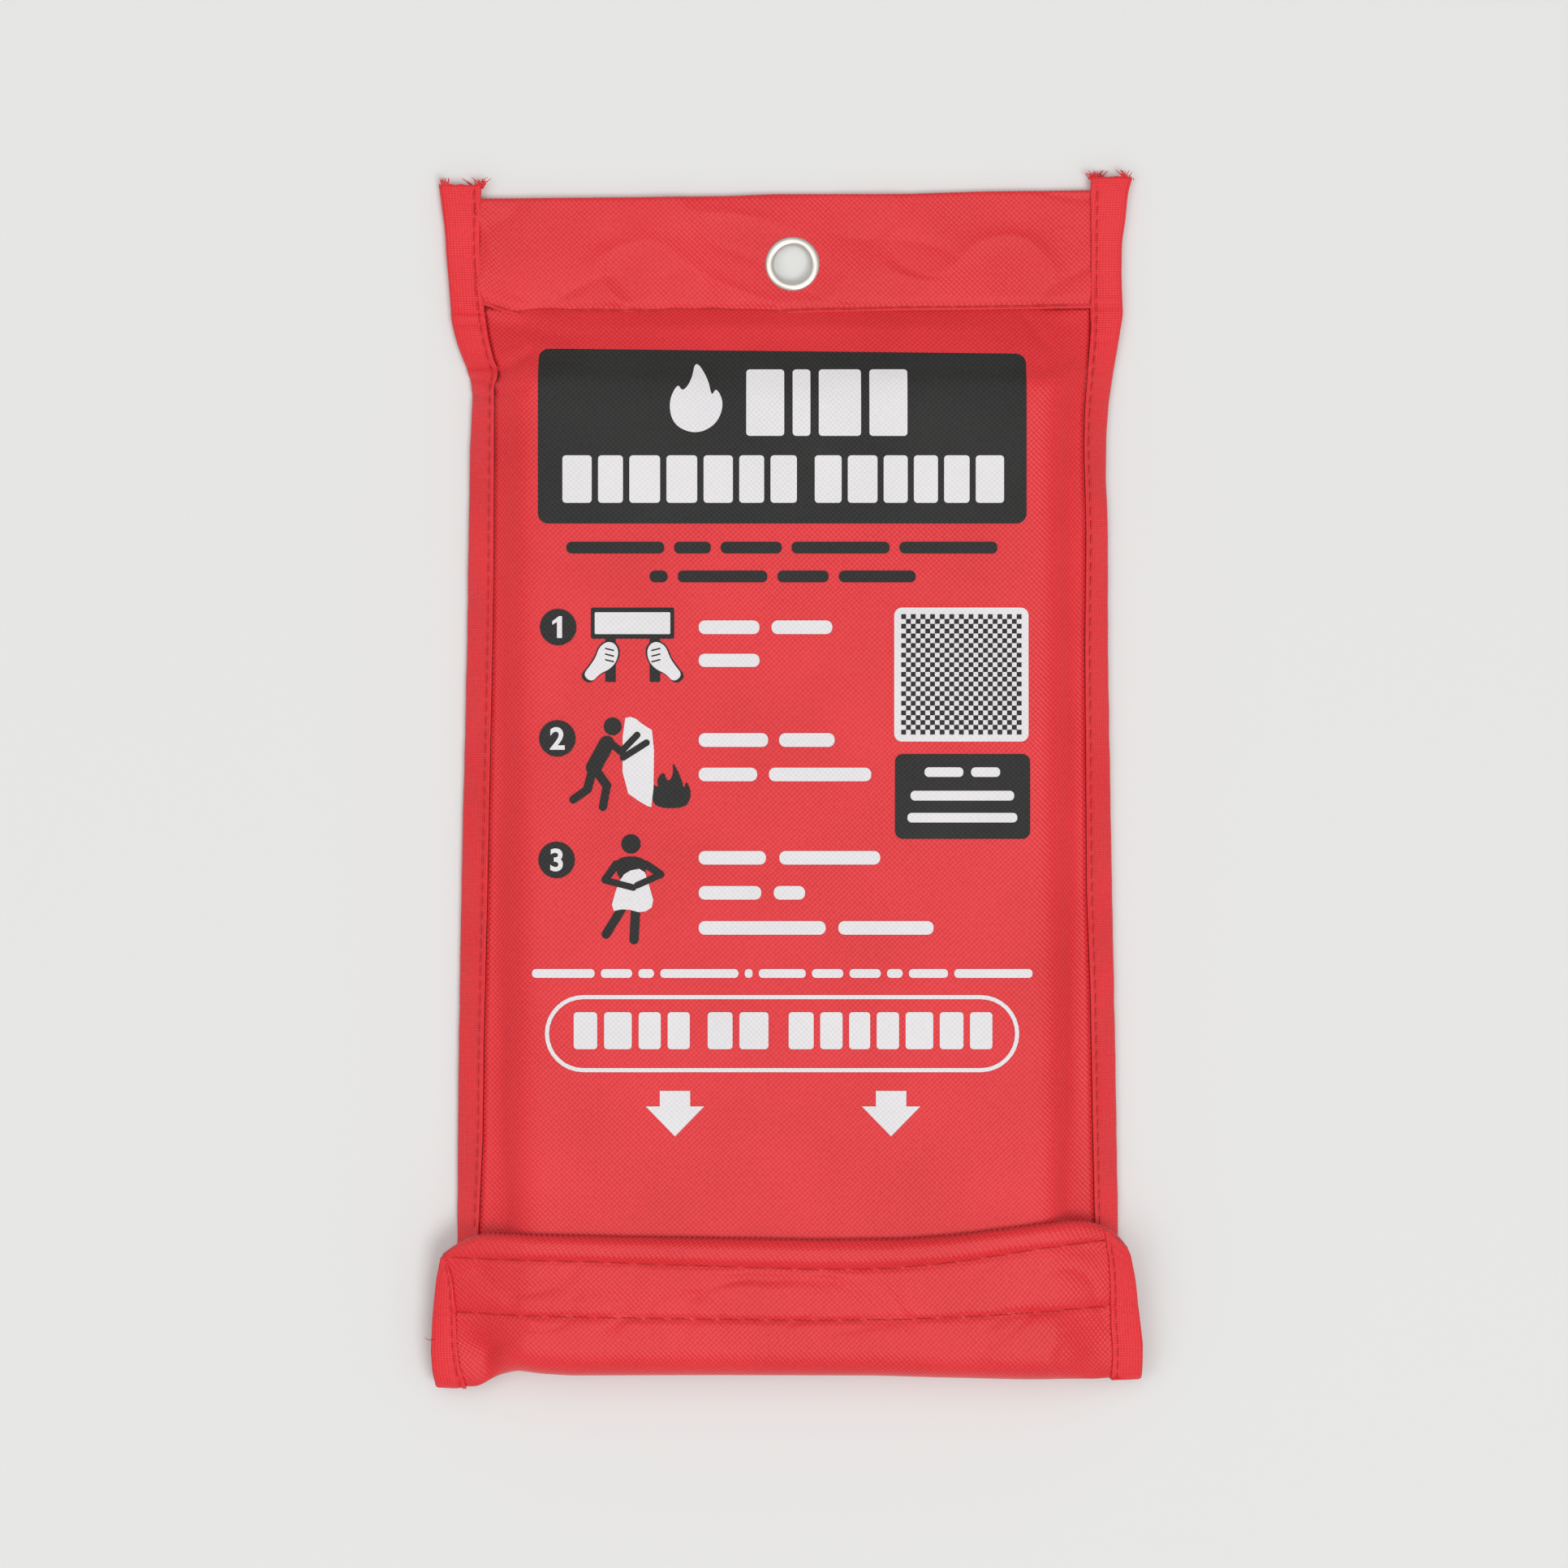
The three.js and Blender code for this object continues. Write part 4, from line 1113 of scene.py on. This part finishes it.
def loop_patch(word, x0, x1):
    xs, ys = np.linspace(x0, x1, max(4, int(x1 - x0))), np.linspace(LOOP_LOW, LOOP_HIGH, 14)
    p = np.array([[list(front_top.at(x, y)[0]) for x in xs] for y in ys])
    p[..., 2] += LOOP_LIFT
    return slab(f"loop_tape_{word}", p, STRIP, LOOP_TAPE)


def hook_strip():
    """The strip under the flap, between its two rows of stitches."""
    xs = np.linspace(-80, 80, 130)
    rows = []
    for k in range(8):
        y = mix(hook_row(xs) + 1.3, hem_row(xs) - 1.3, k / 7)
        rows.append(np.stack([xs, y, flap_height(xs, y) - UNDER_FLAP], 1))
    return slab("hook_tape", np.stack(rows), STRIP, LOOP_TAPE)


loops = [loop_patch("left", -68, -59), loop_patch("centre", -29, 29), loop_patch("right", 59, 68)]
hook = hook_strip()

# ---------------- blanket
LAYER, BLANKET_LOW, TOP_LEAF_LIFT, CENTRE_Y = 0.35, 2.4, 1.0, -26.2
LEAF = 7 * LAYER


def zigzag(count, width, turn, cells, arc):
    """Points of a strip folded to and fro count times."""
    points = []
    for k in range(count):
        way = 1 if k % 2 == 0 else -1
        a, b = -width / 2 * way, width / 2 * way
        for i in range(cells + 1):
            points.append((mix(a, b, i / cells), k * 2 * turn))
        if k < count - 1:
            for i in range(1, arc):
                t = math.pi * i / arc
                points.append((b + way * turn * math.sin(t), k * 2 * turn + turn * (1 - math.cos(t))))
    return np.array(points)


def blanket_grid():
    """A sheet folded across into seven layers, and those into four leaves along the pouch."""
    strip = zigzag(7, 139.5, LAYER / 2, 8, 5)
    strip[:, 1] -= strip[:, 1].mean()
    across, through = strip.T
    leaves = zigzag(4, 245.0, LEAF / 2 + 0.02, 30, 9)
    run = np.gradient(leaves, axis=0)
    run /= np.linalg.norm(run, axis=1, keepdims=True)
    along, up = leaves.T[:, :, None]
    run_along, run_up = run.T[:, :, None]
    lift = np.where(up > 2 * LEAF * 0.75, TOP_LEAF_LIFT, 0.0)
    y = CENTRE_Y - along + run_up * through
    z = BLANKET_LOW + LEAF / 2 + lift + up + run_along * through
    inset = 1 - np.sqrt(1 - np.clip((z + 0.1 - BLOCK_LOW) / BLOCK_RISE, 0, 1) ** 2)
    x = across * ((69.2 - BLOCK_TURN * inset) / 70.2)
    span = BLANKET_TOP - 0.4 - MOUTH
    return np.stack([x, MOUTH + (y - MOUTH) * (span - 9 * inset) / 249, z], 2)


blanket = slab("glass_blanket", blanket_grid(), 0.3, GLASS_CLOTH)

# ---------------- tabs
TAB_END, TAB_LOW, TAB_HIGH = -152.3, 7.5, 14.75


def rounded_path(points, radii):
    """A line with rounded corners, in steps of about a millimetre."""
    out = [Vector(points[0])]
    for k in range(1, len(points) - 1):
        p = Vector(points[k])
        r = radii[k - 1]
        a = p + (Vector(points[k - 1]) - p).normalized() * r
        b = p + (Vector(points[k + 1]) - p).normalized() * r
        for t in [i / 8 for i in range(9)]:
            out.append(a * (1 - t) ** 2 + p * 2 * t * (1 - t) + b * t * t)
    out.append(Vector(points[-1]))
    fine = []
    for a, b in zip(out, out[1:]):
        count = max(1, int((b - a).length))
        fine += [a.lerp(b, i / count) for i in range(count)]
    return fine + [out[-1]]


def pull_tab(word, cx):
    """Webbing from between the blanket's leaves, out of the mouth and back over the front."""
    corners = [(0, -121, TAB_LOW), (0, TAB_END, TAB_LOW), (0, TAB_END, TAB_HIGH), (0, -126, TAB_HIGH)]
    path = rounded_path(corners, (0.9, 3.2))
    xs = np.linspace(cx - TAB_HALF, cx + TAB_HALF, 18)
    return slab(f"{word}_webbing_tab", np.array([[(x, q.y, q.z) for x in xs] for q in path]), 0.6, WEBBING)


tabs = [pull_tab("left", -TAB_X), pull_tab("right", TAB_X)]

# ---------------- riding on the frame
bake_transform(back_obj)
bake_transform(flap_obj)
for tape in flap_tapes:
    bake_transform(tape)
for tape in tapes:
    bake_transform(tape)
for o in [front_obj, pouch_threads, frays] + prints + loops:
    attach(o, "pouch")
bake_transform(flap_threads)
for o in (hem_obj, hook):
    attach(o, "flap")
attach(blanket, "blanket")
for word, tab in zip(("left", "right"), tabs):
    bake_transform(tab)
    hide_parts(f"{word}_pull_tab", f"{word}_tab_anchor")

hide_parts("back_panel", "header_facing", "fold_strip")
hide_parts("front_panel")
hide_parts("left_tape", "left_fold_tape")
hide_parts("right_tape", "right_fold_tape")
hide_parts("flap_panel")
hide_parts("flap_hem")
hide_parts("left_flap_tape")
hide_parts("right_flap_tape")
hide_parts("hem_thread", "hook_thread")
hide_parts("header_thread", "left_seam_thread", "right_seam_thread")
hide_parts("hook_strip")
for o, word in zip(loops, ("left", "centre", "right")):
    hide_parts(f"loop_patch_{word}")
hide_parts("folded_blanket")
for name in ("eyelet", "eyelet_washer"):
    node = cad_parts[name]
    node.data.materials.clear()
    node.data.materials.append(NICKEL)
    node.data.polygons.foreach_set("use_smooth", [True] * len(node.data.polygons))
    node.data.set_sharp_from_angle(angle=math.radians(32))

# ---------------- stage
floor_mesh = bpy.data.meshes.new("floor")
floor_mesh.from_pydata([(-3, -3, 0), (3, -3, 0), (3, 3, 0), (-3, 3, 0)], [], [(0, 1, 2, 3)])
floor_mesh.materials.append(plain_look("floor", (0.725, 0.725, 0.71), 0.9))
floor = add("floor", floor_mesh)


def lamp(name, place, size, watts):
    """A round lamp aimed at the middle of the part."""
    data = bpy.data.lights.new(name, "AREA")
    data.shape = "DISK"
    data.size = size
    data.energy = watts
    obj = add(name, data)
    obj.location = place
    obj.rotation_euler = (-Vector(place)).to_track_quat("-Z", "Y").to_euler()
    return obj


key = lamp("key", (0.9, -1.0, 2.8), 1.5, 38)
fill = lamp("fill", (-1.3, -0.2, 2.0), 1.4, 7)
top = lamp("top", (-0.2, 0.4, 1.7), 1.6, 6)
world = bpy.data.worlds.new("studio")
world.use_nodes = True
sky = world.node_tree.nodes["Background"]
sky.inputs[0].default_value = (0.97, 0.98, 1.0, 1)
sky.inputs[1].default_value = 0.52
bpy.context.scene.world = world
bpy.context.scene.view_settings.view_transform = "Standard"

camera_data = bpy.data.cameras.new("camera")
camera_data.lens = 106.0
camera_data.sensor_width = 36
camera_data.clip_start = 0.01
camera = add("camera", camera_data)
camera.location = (-0.0007, -0.0020, 1.2)
bpy.context.scene.camera = camera
